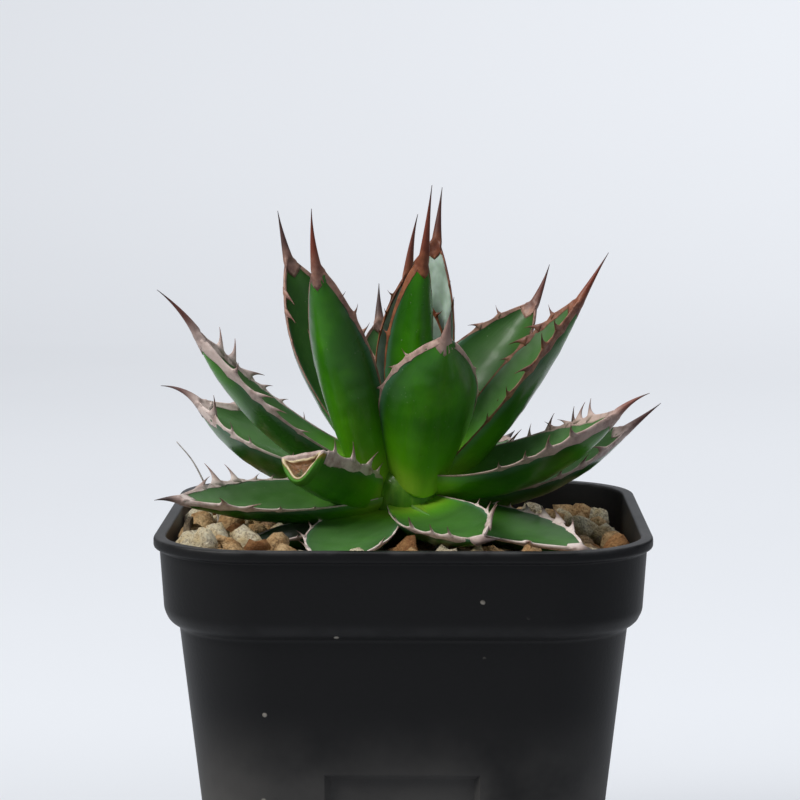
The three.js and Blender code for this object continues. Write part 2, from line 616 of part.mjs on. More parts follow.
function bladeFinish(leaf) {
  if (leaf.number <= YOUNG_LEAVES) {
    return FINISHES.youngLeaf;
  }
  return leaf.number <= MIDDLE_LEAVES ? FINISHES.middleLeaf : FINISHES.oldLeaf;
}

function hornFinish(leaf) {
  return leaf.number <= YOUNG_HORNS ? FINISHES.youngHorn : FINISHES.oldHorn;
}

// Put the plant together, from the heart outwards: an older leaf yields to the younger ones

const leaves = LEAVES.map((row, index) => ({ ...DEFAULT_LEAF, ...row, number: index + 1 }));
const claims = leaves.map(makeClaim);
const plant = new THREE.Group();
plant.add(meshOf("heart", makeHeart(0), FINISHES.heart));

leaves.forEach((leaf, index) => {
  const name = `leaf_${String(leaf.number).padStart(2, "0")}`;
  const younger = wasm.Manifold.union([makeHeart(GAP), ...claims.slice(0, index)]);
  const others = younger.add(wasm.Manifold.union(claims.slice(index + 1)));
  const blade = largest(makeBlade(leaf).subtract(younger));
  const horn = largest(makeHorn(leaf, others).subtract(younger));
  plant.add(meshOf(`${name}_blade`, blade, bladeFinish(leaf)));
  plant.add(meshOf(`${name}_margin`, horn, hornFinish(leaf)));
});

function makeFibre(grow) {
  const path = new THREE.CatmullRomCurve3(FIBRE_PATH.map((place) => new THREE.Vector3(...place)));
  const corners = polygon(FIBRE_SIDES, FIBRE_RADIUS + grow);
  const section = new THREE.Shape(corners.map(([x, y]) => new THREE.Vector2(x, y)));
  const options = { steps: FIBRE_STEPS, bevelEnabled: false, extrudePath: path };
  return solidOf(new THREE.ExtrudeGeometry(section, options));
}

const allLeaves = wasm.Manifold.union(claims);
plant.add(meshOf("dry_fibre", largest(makeFibre(0).subtract(allLeaves)), FINISHES.fibre));
const standing = makeHeart(GAP).add(makeFibre(GAP));

const potted = new THREE.Group();
potted.add(plant);
potted.add(meshOf("substrate", makeSubstrate(standing, allLeaves), FINISHES.substrate));
potted.add(meshOf("pot", makePot(), FINISHES.pot));

export default potted;
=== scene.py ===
# %% [markdown]
# # A potted agave, dressed in Blender
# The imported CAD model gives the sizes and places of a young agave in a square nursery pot.
# This lesson builds the looks around it: smooth leaves from one rule, horny margins with hooked
# teeth, loose grit, a moulded plastic pot, and the finishes of all of them.
# Lengths in the tables are millimetres, and Blender works in metres.

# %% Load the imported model
from math import cos, pi, radians, sin, sqrt

import bmesh
import bpy
from mathutils import Matrix, Vector, noise


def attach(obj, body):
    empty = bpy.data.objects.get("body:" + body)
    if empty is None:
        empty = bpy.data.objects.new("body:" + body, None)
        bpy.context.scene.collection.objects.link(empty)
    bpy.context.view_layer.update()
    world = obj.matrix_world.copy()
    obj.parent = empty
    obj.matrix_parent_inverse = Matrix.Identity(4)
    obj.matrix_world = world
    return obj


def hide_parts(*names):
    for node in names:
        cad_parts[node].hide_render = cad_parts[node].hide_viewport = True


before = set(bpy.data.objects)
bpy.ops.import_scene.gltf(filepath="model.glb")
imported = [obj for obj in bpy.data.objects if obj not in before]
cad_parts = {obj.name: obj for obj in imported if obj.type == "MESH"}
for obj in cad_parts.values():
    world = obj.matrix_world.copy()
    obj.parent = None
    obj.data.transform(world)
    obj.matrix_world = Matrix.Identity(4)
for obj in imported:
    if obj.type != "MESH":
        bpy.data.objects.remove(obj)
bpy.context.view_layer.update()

MM = 0.001
scene = bpy.context.scene
print("CAD nodes:", len(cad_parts))

# %% [markdown]
# ## Camera
# The photograph was taken with a long lens from slightly above the leaves. A camera fitted to the
# pot's lip gives the place below. A long lens keeps the front and the back of the lip nearly equal,
# so the same lens has to be used here, or the pot would look deeper than it is.

# %% Place the camera
CAMERA_PLACE = Vector((6.85, -520.56, 161.2)) * MM
CAMERA_LENS = 124.97
CAMERA_TURN = (radians(90 - 6.545), 0, 0.015)

camera = bpy.data.objects.new("camera", bpy.data.cameras.new("camera"))
camera.data.lens = CAMERA_LENS
camera.data.sensor_width = 36
camera.data.clip_start = 0.01
camera.location = CAMERA_PLACE
camera.rotation_euler = CAMERA_TURN
scene.collection.objects.link(camera)
scene.camera = camera
print("camera at", [round(x, 3) for x in camera.location])

# %% [markdown]
# ## Colours
# Paints and plants are described here by the eight-bit numbers that a colour picker shows. The
# shaders want linear light, so one small function turns the first into the second. The helpers
# call it for each plain colour that they get.

# %% A helper for colours
def tone(red, green, blue):
    """A colour from a picker's numbers, 0 to 255, as linear light."""
    def linear(part):
        part /= 255
        return part / 12.92 if part <= 0.04045 else ((part + 0.055) / 1.055) ** 2.4
    return (linear(red), linear(green), linear(blue), 1)


# %% [markdown]
# ## Sums in node trees
# Both shaders and Geometry Nodes are trees of small nodes. A leaf's rule needs about a hundred sums,
# and setting up each of them by hand hides what they mean. So a socket is wrapped in a class that
# knows plus, minus, times and power, and a sum in a tree reads like the sum on paper. The most common
# nodes have names that start with "GeometryNode", so that part is left out below.

# %% A socket that can be used in sums
# start_finish and start_tree set this, and all helpers add to the tree that was started last.
tree = None


class Value:
    """A socket of a node, used like a number or a vector."""

    def __init__(self, socket):
        self.socket = socket
        self.is_vector = socket.type in ("VECTOR", "RGBA")


def add_operator(name, operation):
    """Lets values stand on either side of one of Python's operators."""
    setattr(Value, f"__{name}__", lambda self, other: calculate(operation, self, other))
    setattr(Value, f"__r{name}__", lambda self, other: calculate(operation, other, self))


for name, operation in (("add", "ADD"), ("sub", "SUBTRACT"), ("mul", "MULTIPLY"), ("truediv", "DIVIDE"),
                        ("pow", "POWER")):
    add_operator(name, operation)


def put(socket, value):
    """Joins a value or a node to an input, or sets the input to a plain number, vector or colour."""
    value = value.outputs[0] if isinstance(value, bpy.types.Node) else getattr(value, "socket", value)
    if isinstance(value, bpy.types.NodeSocket):
        tree.links.new(value, socket)
    else:
        socket.default_value = tone(*value) if socket.type == "RGBA" else value


def add_node(kind, numbered=None, **named):
    """Adds a node. Names with a capital are its inputs, and the others are its choices."""
    made = tree.nodes.new(kind if "Node" in kind else f"GeometryNode{kind}")
    for name, value in named.items():
        if name[0].islower():
            setattr(made, name, value)
    inputs = {name.replace("_", " "): value for name, value in named.items() if name[0].isupper()}
    for name, value in {**(numbered or {}), **inputs}.items():
        put(made.inputs[name], value)
    return made


def value_of(kind, numbered=None, output=0, **named):
    """A value that a new node gives."""
    return Value(add_node(kind, numbered, **named).outputs[output])


def calculate(operation, *terms):
    """One sum of one to three terms. A vector times a number is scaled."""
    vectors = [isinstance(term, (tuple, Vector)) or getattr(term, "is_vector", False) for term in terms]
    if operation == "MULTIPLY" and vectors[0] != vectors[1]:
        vector, number = terms if vectors[0] else (terms[1], terms[0])
        return value_of("ShaderNodeVectorMath", {0: vector, "Scale": number}, operation="SCALE")
    kind = "ShaderNodeVectorMath" if any(vectors) else "ShaderNodeMath"
    return value_of(kind, dict(enumerate(terms)), operation=operation)


def named(operation):
    """A function for one kind of sum."""
    return lambda *terms: calculate(operation, *terms)


sine, cosine, larger, smaller, cross, unit, absolute = map(
    named, ("SINE", "COSINE", "MAXIMUM", "MINIMUM", "CROSS_PRODUCT", "NORMALIZE", "ABSOLUTE"))


def limit(x, low=0.0, high=1.0):
    return smaller(larger(x, low), high)


def mix(a, b, share):
    """From a to b, as share runs from 0 to 1."""
    return a + (b - a) * share


def smooth(x, low, high):
    """0 below low, 1 above high, and an S-shaped rise between them."""
    return value_of("ShaderNodeMapRange", {0: x, 1: low, 2: high}, interpolation_type="SMOOTHSTEP")


def combine(x, y, z):
    return value_of("ShaderNodeCombineXYZ", {0: x, 1: y, 2: z})


def split(vector):
    made = add_node("ShaderNodeSeparateXYZ", {0: vector})
    return [Value(made.outputs[place]) for place in range(3)]


def noise_of(where, scale, detail=2.0, roughness=0.5):
    """Cloudy noise with a mean of about a half, at a place in metres. scale is in features per metre."""
    return value_of("ShaderNodeTexNoise", Vector=where, Scale=scale, Detail=detail, Roughness=roughness)


# %% [markdown]
# ## Finishes
# Every finish here is a small tree that ends in one Principled shader. Patterns are placed by the
# object's own coordinates or by attributes that the shapes carry, so they stay on the piece from
# every side. A number that is the same all over is set straight on the shader.

# %% Helpers for finishes
def start_finish(name, **settings):
    """A new material, and the place on the object in metres. Settings are the shader's own inputs."""
    global tree
    material = bpy.data.materials.new(name)
    material.use_nodes = True
    tree = material.node_tree
    shader = tree.nodes["Principled BSDF"]
    for socket, value in settings.items():
        shader.inputs[socket.replace("_", " ")].default_value = value
    return material, value_of("ShaderNodeTexCoord", output="Object")


def blend(first, second, share):
    """From one colour to another. Each may be a value or a picker's three numbers."""
    return value_of("ShaderNodeMix", {0: share, 6: first, 7: second}, data_type="RGBA", output=2)


def coats(colour, *layers):
    """Lays colours over one another, each with its share."""
    for layer, share in layers:
        colour = blend(colour, layer, share)
    return colour


def carried(name):
    """A number that the shape carries, such as how far along its leaf a point is."""
    return value_of("ShaderNodeAttribute", attribute_name=name, output="Fac")


def spots(where, scale, size):
    """1 inside round spots of that size, as a share of the spacing, and 0 outside."""
    distance = value_of("ShaderNodeTexVoronoi", Vector=where, Scale=scale, output="Distance")
    return 1 - smooth(distance, size * 0.6, size)


def end_finish(material, colour, height, depth, roughness=None):
    """Joins the patterns to the shader. The height stands out from the surface, by depth in metres."""
    shader = tree.nodes["Principled BSDF"]
    put(shader.inputs["Base Color"], colour)
    if roughness:
        put(shader.inputs["Roughness"], roughness)
    bump = add_node("ShaderNodeBump", Height=height, Distance=depth, Strength=1.0)
    put(shader.inputs["Normal"], bump.outputs["Normal"])
    return material


# %% [markdown]
# ## Finished pieces
# A finished piece is a plain mesh in the CAD model's frame. It rides on the model's one body, and
# the CAD nodes that it stands for are hidden.

# %% Helpers for pieces
def mesh_object(name, vertices, faces, material=None):
    """A mesh object from points in metres."""
    mesh = bpy.data.meshes.new(name)
    mesh.from_pydata(vertices, [], faces)
    mesh.validate()
    made = bpy.data.objects.new(name, mesh)
    scene.collection.objects.link(made)
    if material:
        mesh.materials.append(material)
    for face in mesh.polygons:
        face.use_smooth = True
    return made


def object_from(name, shape):
    """An object that takes over a bmesh."""
    made = mesh_object(name, [], [])
    shape.to_mesh(made.data)
    shape.free()
    return made


def finish_piece(piece, slot, *nodes):
    """Joins a piece to the model's body and hides the CAD nodes that it stands for. slot is not used."""
    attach(piece, "root")
    if nodes:
        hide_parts(*nodes)


def settle(piece):
    """Turns what the modifiers make into the piece's own plain mesh."""
    graph = bpy.context.evaluated_depsgraph_get()
    shaped = bpy.data.meshes.new_from_object(
        piece.evaluated_get(graph), preserve_all_data_layers=True, depsgraph=graph)
    piece.modifiers.clear()
    piece.data = shaped


# %% [markdown]
# ## The pot
# The real pot is one thin shell of near-black plastic, moulded with a tapered body, a wider collar
# that lets pots hang in a tray, and a beaded lip. It could be a boolean of boxes, but every corner
# is round and every edge has a small radius. So it is lofted: rounded squares are stacked along the
# outside, over the lip and down the inside, and each turn of the profile gets its own small arc.

# %% Sizes of the pot
FOOT_HALF = 34
BODY_TOP_HALF = 40.7
COLLAR_BOTTOM = 65
CORNER_AT_FOOT = 14
WALL = 1.1
FLOOR = 2.4
CORNER_POINTS = 15

# Half width, corner radius, height and the radius that rounds that edge
POT_PROFILE = [
    (FOOT_HALF, 14.0, 0, 1.0),
    (40.6, 16.4, 63.4, 0.5),
    (42.3, 17.0, 64.7, 0.9),
    (43.2, 17.6, 66.6, 0.8),
    (43.95, 18.4, 77.7, 0.25),
    (45.0, 19.0, 78.2, 0.45),
    (45.0, 19.0, 80, 0.5),
    (42.85, 17.8, 80, 0.45),
    (42.1, 16.7, 66.5, 1.0),
    (39.6, 16.0, 64.8, 1.0),
    (33.15, 13.1, 2.4, 1.2),
]


def rounded_square(half, corner, height, points=CORNER_POINTS):
    """Points round a square with round corners, counter-clockwise seen from above."""
    ring = []
    for quarter in range(4):
        diagonal = radians(45 + 90 * quarter)
        middle = Vector((cos(diagonal), sin(diagonal), 0)) * (half - corner) * sqrt(2)
        for step in range(points):
            angle = radians(90 * quarter + 90 * step / (points - 1))
            place = middle + Vector((cos(angle), sin(angle), 0)) * corner
            ring.append(Vector((place.x, place.y, height)) * MM)
    return ring


def round_profile(profile, steps=4):
    """The profile with each turn between its ends replaced by a small arc."""
    result = [profile[0][:3]]
    for before, turn, after in zip(profile, profile[1:], profile[2:]):
        corner, back, ahead = (Vector(station[:3]) for station in (turn, before, after))
        reach = min(turn[3], (corner - back).length * 0.45, (corner - ahead).length * 0.45)
        start = corner + (back - corner).normalized() * reach
        end = corner + (ahead - corner).normalized() * reach
        for step in range(steps + 1):
            share = step / steps
            result.append(tuple(start.lerp(corner, share).lerp(corner.lerp(end, share), share)))
    result.append(profile[-1][:3])
    return result


def loft(rings, close_start=True, close_end=True):
    """Vertices and faces of a tube through rings of equal size, with flat ends."""
    size = len(rings[0])
    vertices = [point for ring in rings for point in ring]
    faces = []
    for row in range(len(rings) - 1):
        for column in range(size):
            a = row * size + column
            b = row * size + (column + 1) % size
            faces.append((a, b, b + size, a + size))
    if close_start:
        faces.append(tuple(reversed(range(size))))
    if close_end:
        faces.append(tuple(range((len(rings) - 1) * size, len(rings) * size)))
    return vertices, faces


# %% [markdown]
# Black nursery plastic is never quite black or clean. It has a satin skin that scatters a little
# light, grey scuffs where edges rub on trays, which on the lip are also a painted highlight, a film
# of dust that settles low on the body, a few pale flecks of grit, and very fine marks from handling.
# Each of them is one line in the tree.

# %% The pot's finish
def pot_finish():
    material, where = start_finish("pot_plastic_satin", Metallic=0.0, Specular_IOR_Level=0.3)
    height = split(where)[2]
    clouds = noise_of(where, 45, 4, 0.55)
    grain = noise_of(where, 1600, 2, 0.6)
    long_marks = noise_of(where * (260.0, 260.0, 40.0), 1.0, 3, 0.6)
    dust = (1 - smooth(height, 0.030, 0.052)) * smooth(clouds, 0.2, 0.7)
    flecks = spots(where + (clouds * 0.004), 110, 0.06) * smooth(noise_of(where, 60, 0), 0.47, 0.53)
    # Painted highlight: the band on the lip's top is lightened partly as wear and partly as the lip's
    # highlight. The shoulder band is wear.
    lip = smooth(height, 0.0791, 0.0799)
    shoulder = smooth(height, 0.0638, 0.0652) * (1 - smooth(height, 0.0655, 0.067))
    wear_and_painted_highlight = (lip * 0.75 + shoulder * 0.2) * smooth(noise_of(where, 170, 3), 0.34, 0.66)
    colour = coats(
        blend((15, 15, 17), (22, 22, 24), clouds),
        ((96, 94, 92), dust * 0.7),
        ((104, 104, 106), wear_and_painted_highlight * 0.32),
        ((176, 170, 160), flecks * 0.8))
    return end_finish(
        material, colour, grain * 0.5 + long_marks * 0.5 + flecks * 2, 0.00005,
        0.44 + clouds * 0.12 + dust * 0.18 + wear_and_painted_highlight * 0.06)


POT_PLASTIC = pot_finish()
print("finish:", POT_PLASTIC.name)

# %% [markdown]
# Each side of the body has a shallow pressed panel. It is cut with a wedge whose sides slope, as a
# mould needs. The inside of the wall bulges by the same depth, so the wall keeps its thickness.
# Eight drain holes pierce the floor round a whole middle.

# %% Make the pot
PANEL_WIDTH = 25.6
PANEL_TOP = 37.6
PANEL_BOTTOM = 14
PANEL_DEPTH = 1.5
PANEL_DRAFT = 1.1
DRAIN_RADIUS = 3.2
DRAIN_RING = 19
DRAIN_COUNT = 8


def body_half(height):
    return FOOT_HALF + (BODY_TOP_HALF - FOOT_HALF) * height / COLLAR_BOTTOM


def panel_blocks(name, deep, shallow, widen):
    """Four blocks with sloping sides, one in each wall, between two depths under its outer face."""
    rows = []
    for depth in (deep, shallow):
        spread = widen + PANEL_DRAFT * (PANEL_DEPTH - depth) / PANEL_DEPTH
        side, low, high = PANEL_WIDTH / 2 + spread, PANEL_BOTTOM - spread, PANEL_TOP + spread
        corners = ((-side, low), (side, low), (side, high), (-side, high))
        rows.append([Vector((x, depth - body_half(z), z)) * MM for x, z in corners])
    vertices, faces = loft(rows)
    turned = [Matrix.Rotation(radians(90 * quarter), 3, "Z") @ point
              for quarter in range(4) for point in vertices]
    size = len(vertices)
    return mesh_object(name, turned, [tuple(corner + size * quarter for corner in face)
                                      for quarter in range(4) for face in faces])


def combine_solids(piece, block, operation):
    """Takes a block away from a piece, or adds it, and removes the block."""
    outward = bmesh.new()
    outward.from_mesh(block.data)
    bmesh.ops.recalc_face_normals(outward, faces=outward.faces)
    outward.to_mesh(block.data)
    outward.free()
    modifier = piece.modifiers.new("cut", "BOOLEAN")
    modifier.object = block
    modifier.operation = operation
    modifier.solver = "EXACT"
    settle(piece)
    bpy.data.objects.remove(block)


foot_rings = [rounded_square(FOOT_HALF - back, CORNER_AT_FOOT - back, height)
              for back, height in ((0.9, 0), (0.25, 0.3))]
wall_rings = [rounded_square(*station) for station in round_profile(POT_PROFILE)[1:]]
pot = mesh_object("pot_shell", *loft(foot_rings + wall_rings), POT_PLASTIC)
combine_solids(pot, panel_blocks("bulges", PANEL_DEPTH + WALL, WALL - 0.4, WALL), "UNION")
combine_solids(pot, panel_blocks("panels", PANEL_DEPTH, -1, 0), "DIFFERENCE")
print("pot:", len(pot.data.polygons), "faces")

# %% The drain holes, and the pot's place in the model
def drain_pins():
    """A pin in the place of each drain hole."""
    pins = bmesh.new()
    for hole in range(DRAIN_COUNT):
        angle = radians(360 * (hole + 0.5) / DRAIN_COUNT)
        place = Matrix.Translation(Vector((cos(angle), sin(angle), 0)) * DRAIN_RING * MM)
        bmesh.ops.create_cone(pins, cap_ends=True, segments=28, radius1=DRAIN_RADIUS * MM,
                              radius2=DRAIN_RADIUS * MM, depth=5 * FLOOR * MM, matrix=place)
    return object_from("pins", pins)


combine_solids(pot, drain_pins(), "DIFFERENCE")
for face in pot.data.polygons:
    face.use_smooth = True
pot.data.set_sharp_from_angle(angle=radians(32))
finish_piece(pot, "pot_plastic", "pot")
print("pot with drains:", len(pot.data.polygons), "faces")

# %% [markdown]
# ## The leaves' table
# Every leaf of the rosette is the same leaf: a midrib that leaves the stem at some slope and bends,
# a width that swells and draws in, a fleshy keel below and a hollow face above. Only the numbers
# differ. So the plant is a table of numbers and one rule, as it is in the CAD model.
# The first leaf is the youngest one in the middle, and the last lies on the grit.

# %% The numbers of each leaf
# Of each leaf: heading, rise at root and tip, length, width, root, spine, cup, lift, hook, roll,
# weather, bloom and ink, and then what differs from the common numbers. A tooth is its place along
# the leaf, its size and its lean. Leaves without lists get evenly spread teeth.
COLUMNS = "heading rise length width root spine cup lift hook roll weather bloom ink".split()
LEAVES = [
    ((52, (80, 82.6), 38.2, 16.2, (2.1, 3, 92.2), 11.4, 0.49, -6, -1, -7, 0.1, 1, 0.8), dict(
        left=[(0.74, 1.2, 0.3)], right=[(0.71, 2.2, 0.2), (0.81, 1.4, 0.1)])),
    ((122, (86, 94.7), 31.5, 14, (0.5, 3.1, 92.4), 13.2, 0.46, 22, -3, 14, 0, 1, 0.4), dict(
        left=[(0.7, 1.2, 0.2), (0.81, 1.4, 0.4)], right=[(0.8, 1.4, 0.2)])),
    ((306.5, (87, 80), 36, 9.4, (0.9, -0.9, 91.5), 15.2, 0.62, -2, 0, 13, 0.05, 0.7, 0.45), dict(
        thickness=4, left=[(0.72, 1.2, 0.3)], right=[(0.62, 1.2, 0.2)])),
    ((285.5, (58, 57.5), 33.2, 18.2, (2.7, -5, 86.6), 7.2, 0.46, -2, 4, 4, 0.45, 0.1, 0.2), dict(
        left=[(0.55, 1.4, -0.2), (0.73, 1.4, -0.2)],
        right=[(0.19, 1.8, -0.5), (0.29, 1.6, -0.5), (0.39, 1.8, -0.6), (0.57, 1.8, -0.4),
               (0.73, 1.6, -0.2), (0.83, 1.4, 0)])),
    ((38, (43.5, 54.5), 41.4, 20, (3.1, 5, 86.2), 9.3, 0.46, 12, 2, -10, 0.3, 0, 0.75), dict(
        left=[(0.65, 1.8, 0), (0.81, 2, -0.2), (0.9, 1.6, 0.3)],
        right=[(0.4, 1.8, 0), (0.55, 2.2, 0.2), (0.7, 2.4, -0.1), (0.85, 2, 0.2)])),
    ((0, (43.5, 58.5), 41, 13, (6.2, -1, 87.8), 11.6, 0.41, -1, 0, -15, 0.15, 0.3, 0.5), dict(
        left=[(0.61, 1.4, -0.6), (0.73, 2.6, -0.6), (0.82, 2.4, -0.3), (0.9, 1.8, 0.2)],
        right=[(0.35, 1.4, 0.3), (0.5, 2, 0), (0.65, 2.8, -0.3), (0.77, 3.2, 0.1), (0.87, 2.6, 0)])),
    ((105, (50, 66), 30.5, 15, (-1, 6, 88), 8.5, 0.38, 6, -20, 0, 0.3, 0.4, 0.9), dict(teeth=5)),
    ((236.7, (63, 72.5), 44, 12.1, (-5.8, -3.5, 86.5), 11.9, 0.39, 17, -5, -12, 0.25, 0.15, 0.5), dict(
        bend=2, left=[(0.79, 1.6, 0.7)], right=[(0.7, 1.2, 0.2)])),
    ((147, (47.5, 70.5), 43.2, 17.8, (-3.8, 3.1, 89.4), 10.6, 0.31, 6, 1, 14.7, 0.3, 0, 0.85), dict(
        stand=1.5, left=[(0.55, 1.2, 0.4), (0.63, 1.3, 0.3), (0.77, 3.2, -0.7), (0.86, 3.4, -0.7)],
        right=[(0.45, 1.6, 0), (0.6, 2, 0), (0.78, 2, 0)])),
    ((82, (16, 30), 34, 15, (1, 6, 85), 8, 0.38, 6, 0, 0, 0.5, 0.3, 0.6), dict(teeth=5)),
    ((199, (18, 58), 43.4, 14.6, (-5.5, -1.9, 88.3), 12.3, 0.27, -22, -2, 13, 0.75, 0.35, 0.7), dict(
        rim=1.6, rim_bend=7,
        left=[(0.45, 1.6, -0.4), (0.61, 2.4, -0.6), (0.69, 2.8, -0.2), (0.82, 2.4, 0.1)],
        right=[(0.5, 1.6, -0.4), (0.61, 2, -0.4), (0.71, 3.2, -0.5), (0.81, 3.6, 0.1), (0.89, 3.4, 0.4)])),
    ((338.5, (-5.5, 45), 38.8, 17.3, (5.3, -2.5, 87.8), 8.3, 0.39, -26, 1.5, -12.7, 0.6, 0.5, 0.4), dict(
        rim=1.2, left=[(0.62, 1.8, -0.2), (0.72, 2, -0.4), (0.79, 2.8, 0.5), (0.87, 2.8, 0.1)],
        right=[(0.45, 1.6, 0), (0.59, 2, 0.2), (0.71, 3, 0.3), (0.83, 2.8, 0.2)])),
    ((10.5, (0, 34), 38.1, 17.5, (6.1, 1, 83.7), 9.3, 0.32, 1, -1, -17.4, 0.65, 0.3, 0.8), dict(
        stand=0.8, left=[(0.47, 1.4, -0.5), (0.57, 2.4, 0.1), (0.67, 3.4, 0.5), (0.81, 3.6, 0.1)],
        right=[(0.45, 1.6, 0), (0.58, 2, 0), (0.71, 2.4, 0.3), (0.85, 3, -0.2)])),
    ((164, (4.5, 46.6), 37.4, 18.2, (-6.7, 0.9, 85.7), 9.4, 0.53, -50, 1.4, 11, 0.85, 0.25, 0.8), dict(
        bend=1.4, stand=1.5, rim=1.2, left=[(0.6, 1.4, 0.3), (0.73, 1.8, 0.4), (0.89, 3.6, 0.1)],
        right=[(0.5, 1.6, 0), (0.65, 2, 0.1), (0.75, 2.4, 0.2), (0.88, 2.4, 0)])),
    ((234, (10, 27), 22.5, 10.4, (-6, -4, 85), 0, 0.45, 6, 0, -14, 0.75, 0.2, 0.6), dict(
        tip=4.6, thickness=4.4, thinning=0.1, stand=1.2, rim=1.5, rim_bend=1,
        left=[(0.2, 1.8, -0.2), (0.38, 2.8, -0.2), (0.61, 2.8, 0.2), (0.86, 2.2, 0.4)],
        right=[(0.3, 1.4, 0), (0.55, 1.8, 0), (0.82, 2.8, -0.3)])),
    ((60, (4, 12), 33, 16, (3, 6, 85), 5, 0.38, 6, 0, 0, 0.6, 0.3, 1), dict(
        left=[(0.6, 2, 0), (0.85, 2.2, 0)], right=[(0.35, 1.6, 0), (0.6, 2, 0.1), (0.78, 2.4, 0)])),
    ((290, (-6, 3), 35, 15.2, (1.2, -6.2, 82.5), 7.2, 0.21, 8, 32, -9.6, 0.85, 0.15, 0.92), dict(
        stand=2, left=[(0.45, 1.2, 0.2), (0.62, 1.6, 0.2), (0.76, 2.8, 0.5), (0.9, 3.6, 0.3)],
        right=[(0.21, 1.2, 0.5), (0.4, 1.4, 0.4), (0.63, 2.6, 0.5), (0.79, 2, 0.5), (0.9, 2, 0.5)])),
    ((205.3, (-6, 10), 37.9, 16.2, (-6.2, -3, 84.2), 5.6, 0.2, -20, 2.6, 12, 0.9, 0.35, 0.9), dict(
        left=[(0.4, 1.2, 0), (0.58, 1.6, 0), (0.73, 2.2, -0.2), (0.84, 3.2, 0.2)],
        right=[(0.37, 1.1, -0.4), (0.46, 1.1, -0.4), (0.55, 1.4, -0.4), (0.66, 3, 0), (0.77, 3.6, 0),
               (0.87, 2.6, -0.3)])),
    ((128, (4, 14), 34, 15, (-4, 5, 83.5), 7, 0.38, 6, 0, 0, 0.8, 0.3, 0.6), dict(teeth=5)),
    ((316, (-9.7, -3), 36.5, 18, (5.2, -5, 82.7), 4.5, 0.08, -2, -3, -3.4, 0.95, 0.1, 1), dict(
        rim=0.6, rim_start=0.26,
        left=[(0.14, 1, 0), (0.23, 1.2, 0.1), (0.32, 1.3, -0.2), (0.43, 2.4, -0.5), (0.55, 3, -0.6),
               (0.67, 3.4, -0.6), (0.8, 2.6, -0.2)], right=[(0.4, 1.2, 0), (0.6, 1.6, 0.2), (0.82, 3, 0.5)])),
    ((259.5, (-10, -6.7), 33, 16.2, (-6.5, -5.5, 81.4), 3, 0.12, 6, 0, -2, 0.95, 0.3, 0.6), dict(
        stand=1, left=[(0.5, 1.4, 0), (0.72, 1.8, 0)],
        right=[(0.28, 1.2, -0.4), (0.41, 1.2, -0.4), (0.6, 1.6, 0), (0.78, 1.8, 0)])),
    ((156, (-8, -6), 30, 15, (-6, 4, 81), 5, 0.38, 6, 0, 0, 0.9, 0.4, 0.6), dict(teeth=4)),
    ((98, (-8, -4), 30, 15, (0, 6, 81), 5, 0.38, 6, 0, 0, 0.9, 0.4, 0.6), dict(teeth=4)),
    ((210, (-11, -5), 27, 12, (-5.8, -4.9, 80.5), 3, 0.15, 6, 0, 0, 0.9, 0.3, 1), dict(
        rim=0.2, rim_start=0.6, left=[(0.7, 1.2, 0)], right=[(0.85, 1.2, 0)])),
]
COMMON = dict(bend=1, tip=1.3, stand=0.35, thickness=4.6, thinning=0.72, rim=0.75, rim_bend=5, rim_start=0.03)
YOUNG_BLADES = 2
YOUNG_HORNS = 9

leaves = [{**COMMON, **dict(zip(COLUMNS, row)), **more, "number": number}
          for number, (row, more) in enumerate(LEAVES, 1)]
print("leaves:", len(leaves), "widest:", max(leaf["width"] for leaf in leaves), "mm")

# %% [markdown]
# ## One rule for all leaves
# A leaf could be sculpted, or drawn as a curve and lofted by hand, but then each of the 24 would be
# a separate job. Geometry Nodes can hold the rule itself: each named input of the tree is one number
# of the table, and the tree bends a plain tube into the leaf. To change the plant, change a number.

# %% The inputs that all leaf trees share
def metres(number):
    return number * MM


PLACE_INPUTS = ["Root", "Slope at root", "Slope at tip"]
LEAF_INPUTS = {
    "Heading": ("heading", radians), "Slope bend": ("bend", float), "Spine lift": ("lift", radians),
    "Spine hook": ("hook", radians), "Roll": ("roll", radians), "Length": ("length", metres),
    "Width": ("width", metres), "Tip width": ("tip", metres), "Thickness": ("thickness", metres),
    "Thinning": ("thinning", float), "Cup": ("cup", float), "Spine length": ("spine", metres),
    "Weather": ("weather", float), "Bloom": ("bloom", float),
}


def leaf_numbers(leaf):
    """The tree's inputs for one leaf, in metres and radians."""
    numbers = {name: change(leaf[key]) for name, (key, change) in LEAF_INPUTS.items()}
    numbers["Root"] = tuple(map(metres, leaf["root"]))
    numbers["Slope at root"], numbers["Slope at tip"] = map(radians, leaf["rise"])
    return numbers


def start_tree(name, numbers):
    """A Geometry Nodes tree with named inputs. Gives the tree and its inputs as values."""
    global tree
    tree = bpy.data.node_groups.new(name, "GeometryNodeTree")
    tree.interface.new_socket("Geometry", in_out="INPUT", socket_type="NodeSocketGeometry")
    tree.interface.new_socket("Geometry", in_out="OUTPUT", socket_type="NodeSocketGeometry")
    kinds = {"Root": "NodeSocketVector", "Leaves": "NodeSocketObject", "Seed": "NodeSocketInt"}
    for number in numbers:
        kind = kinds.get(number, "NodeSocketFloat")
        tree.interface.new_socket(number, in_out="INPUT", socket_type=kind)
    tree.interface.new_socket("Finish", in_out="INPUT", socket_type="NodeSocketMaterial")
    entry = tree.nodes.new("NodeGroupInput")
    return {socket.name: Value(socket) for socket in entry.outputs if socket.name}


def end_tree(geometry, material):
    """Smooth shading, real geometry instead of instances, and the finish."""
    smooth_shaded = add_node("SetShadeSmooth", Geometry=geometry)
    real = add_node("RealizeInstances", Geometry=smooth_shaded)
    finished = add_node("SetMaterial", Geometry=real, Material=material)
    leave = tree.nodes.new("NodeGroupOutput")
    put(leave.inputs[0], finished)


def move_points(geometry, place):
    return add_node("SetPosition", Geometry=geometry, Position=place)


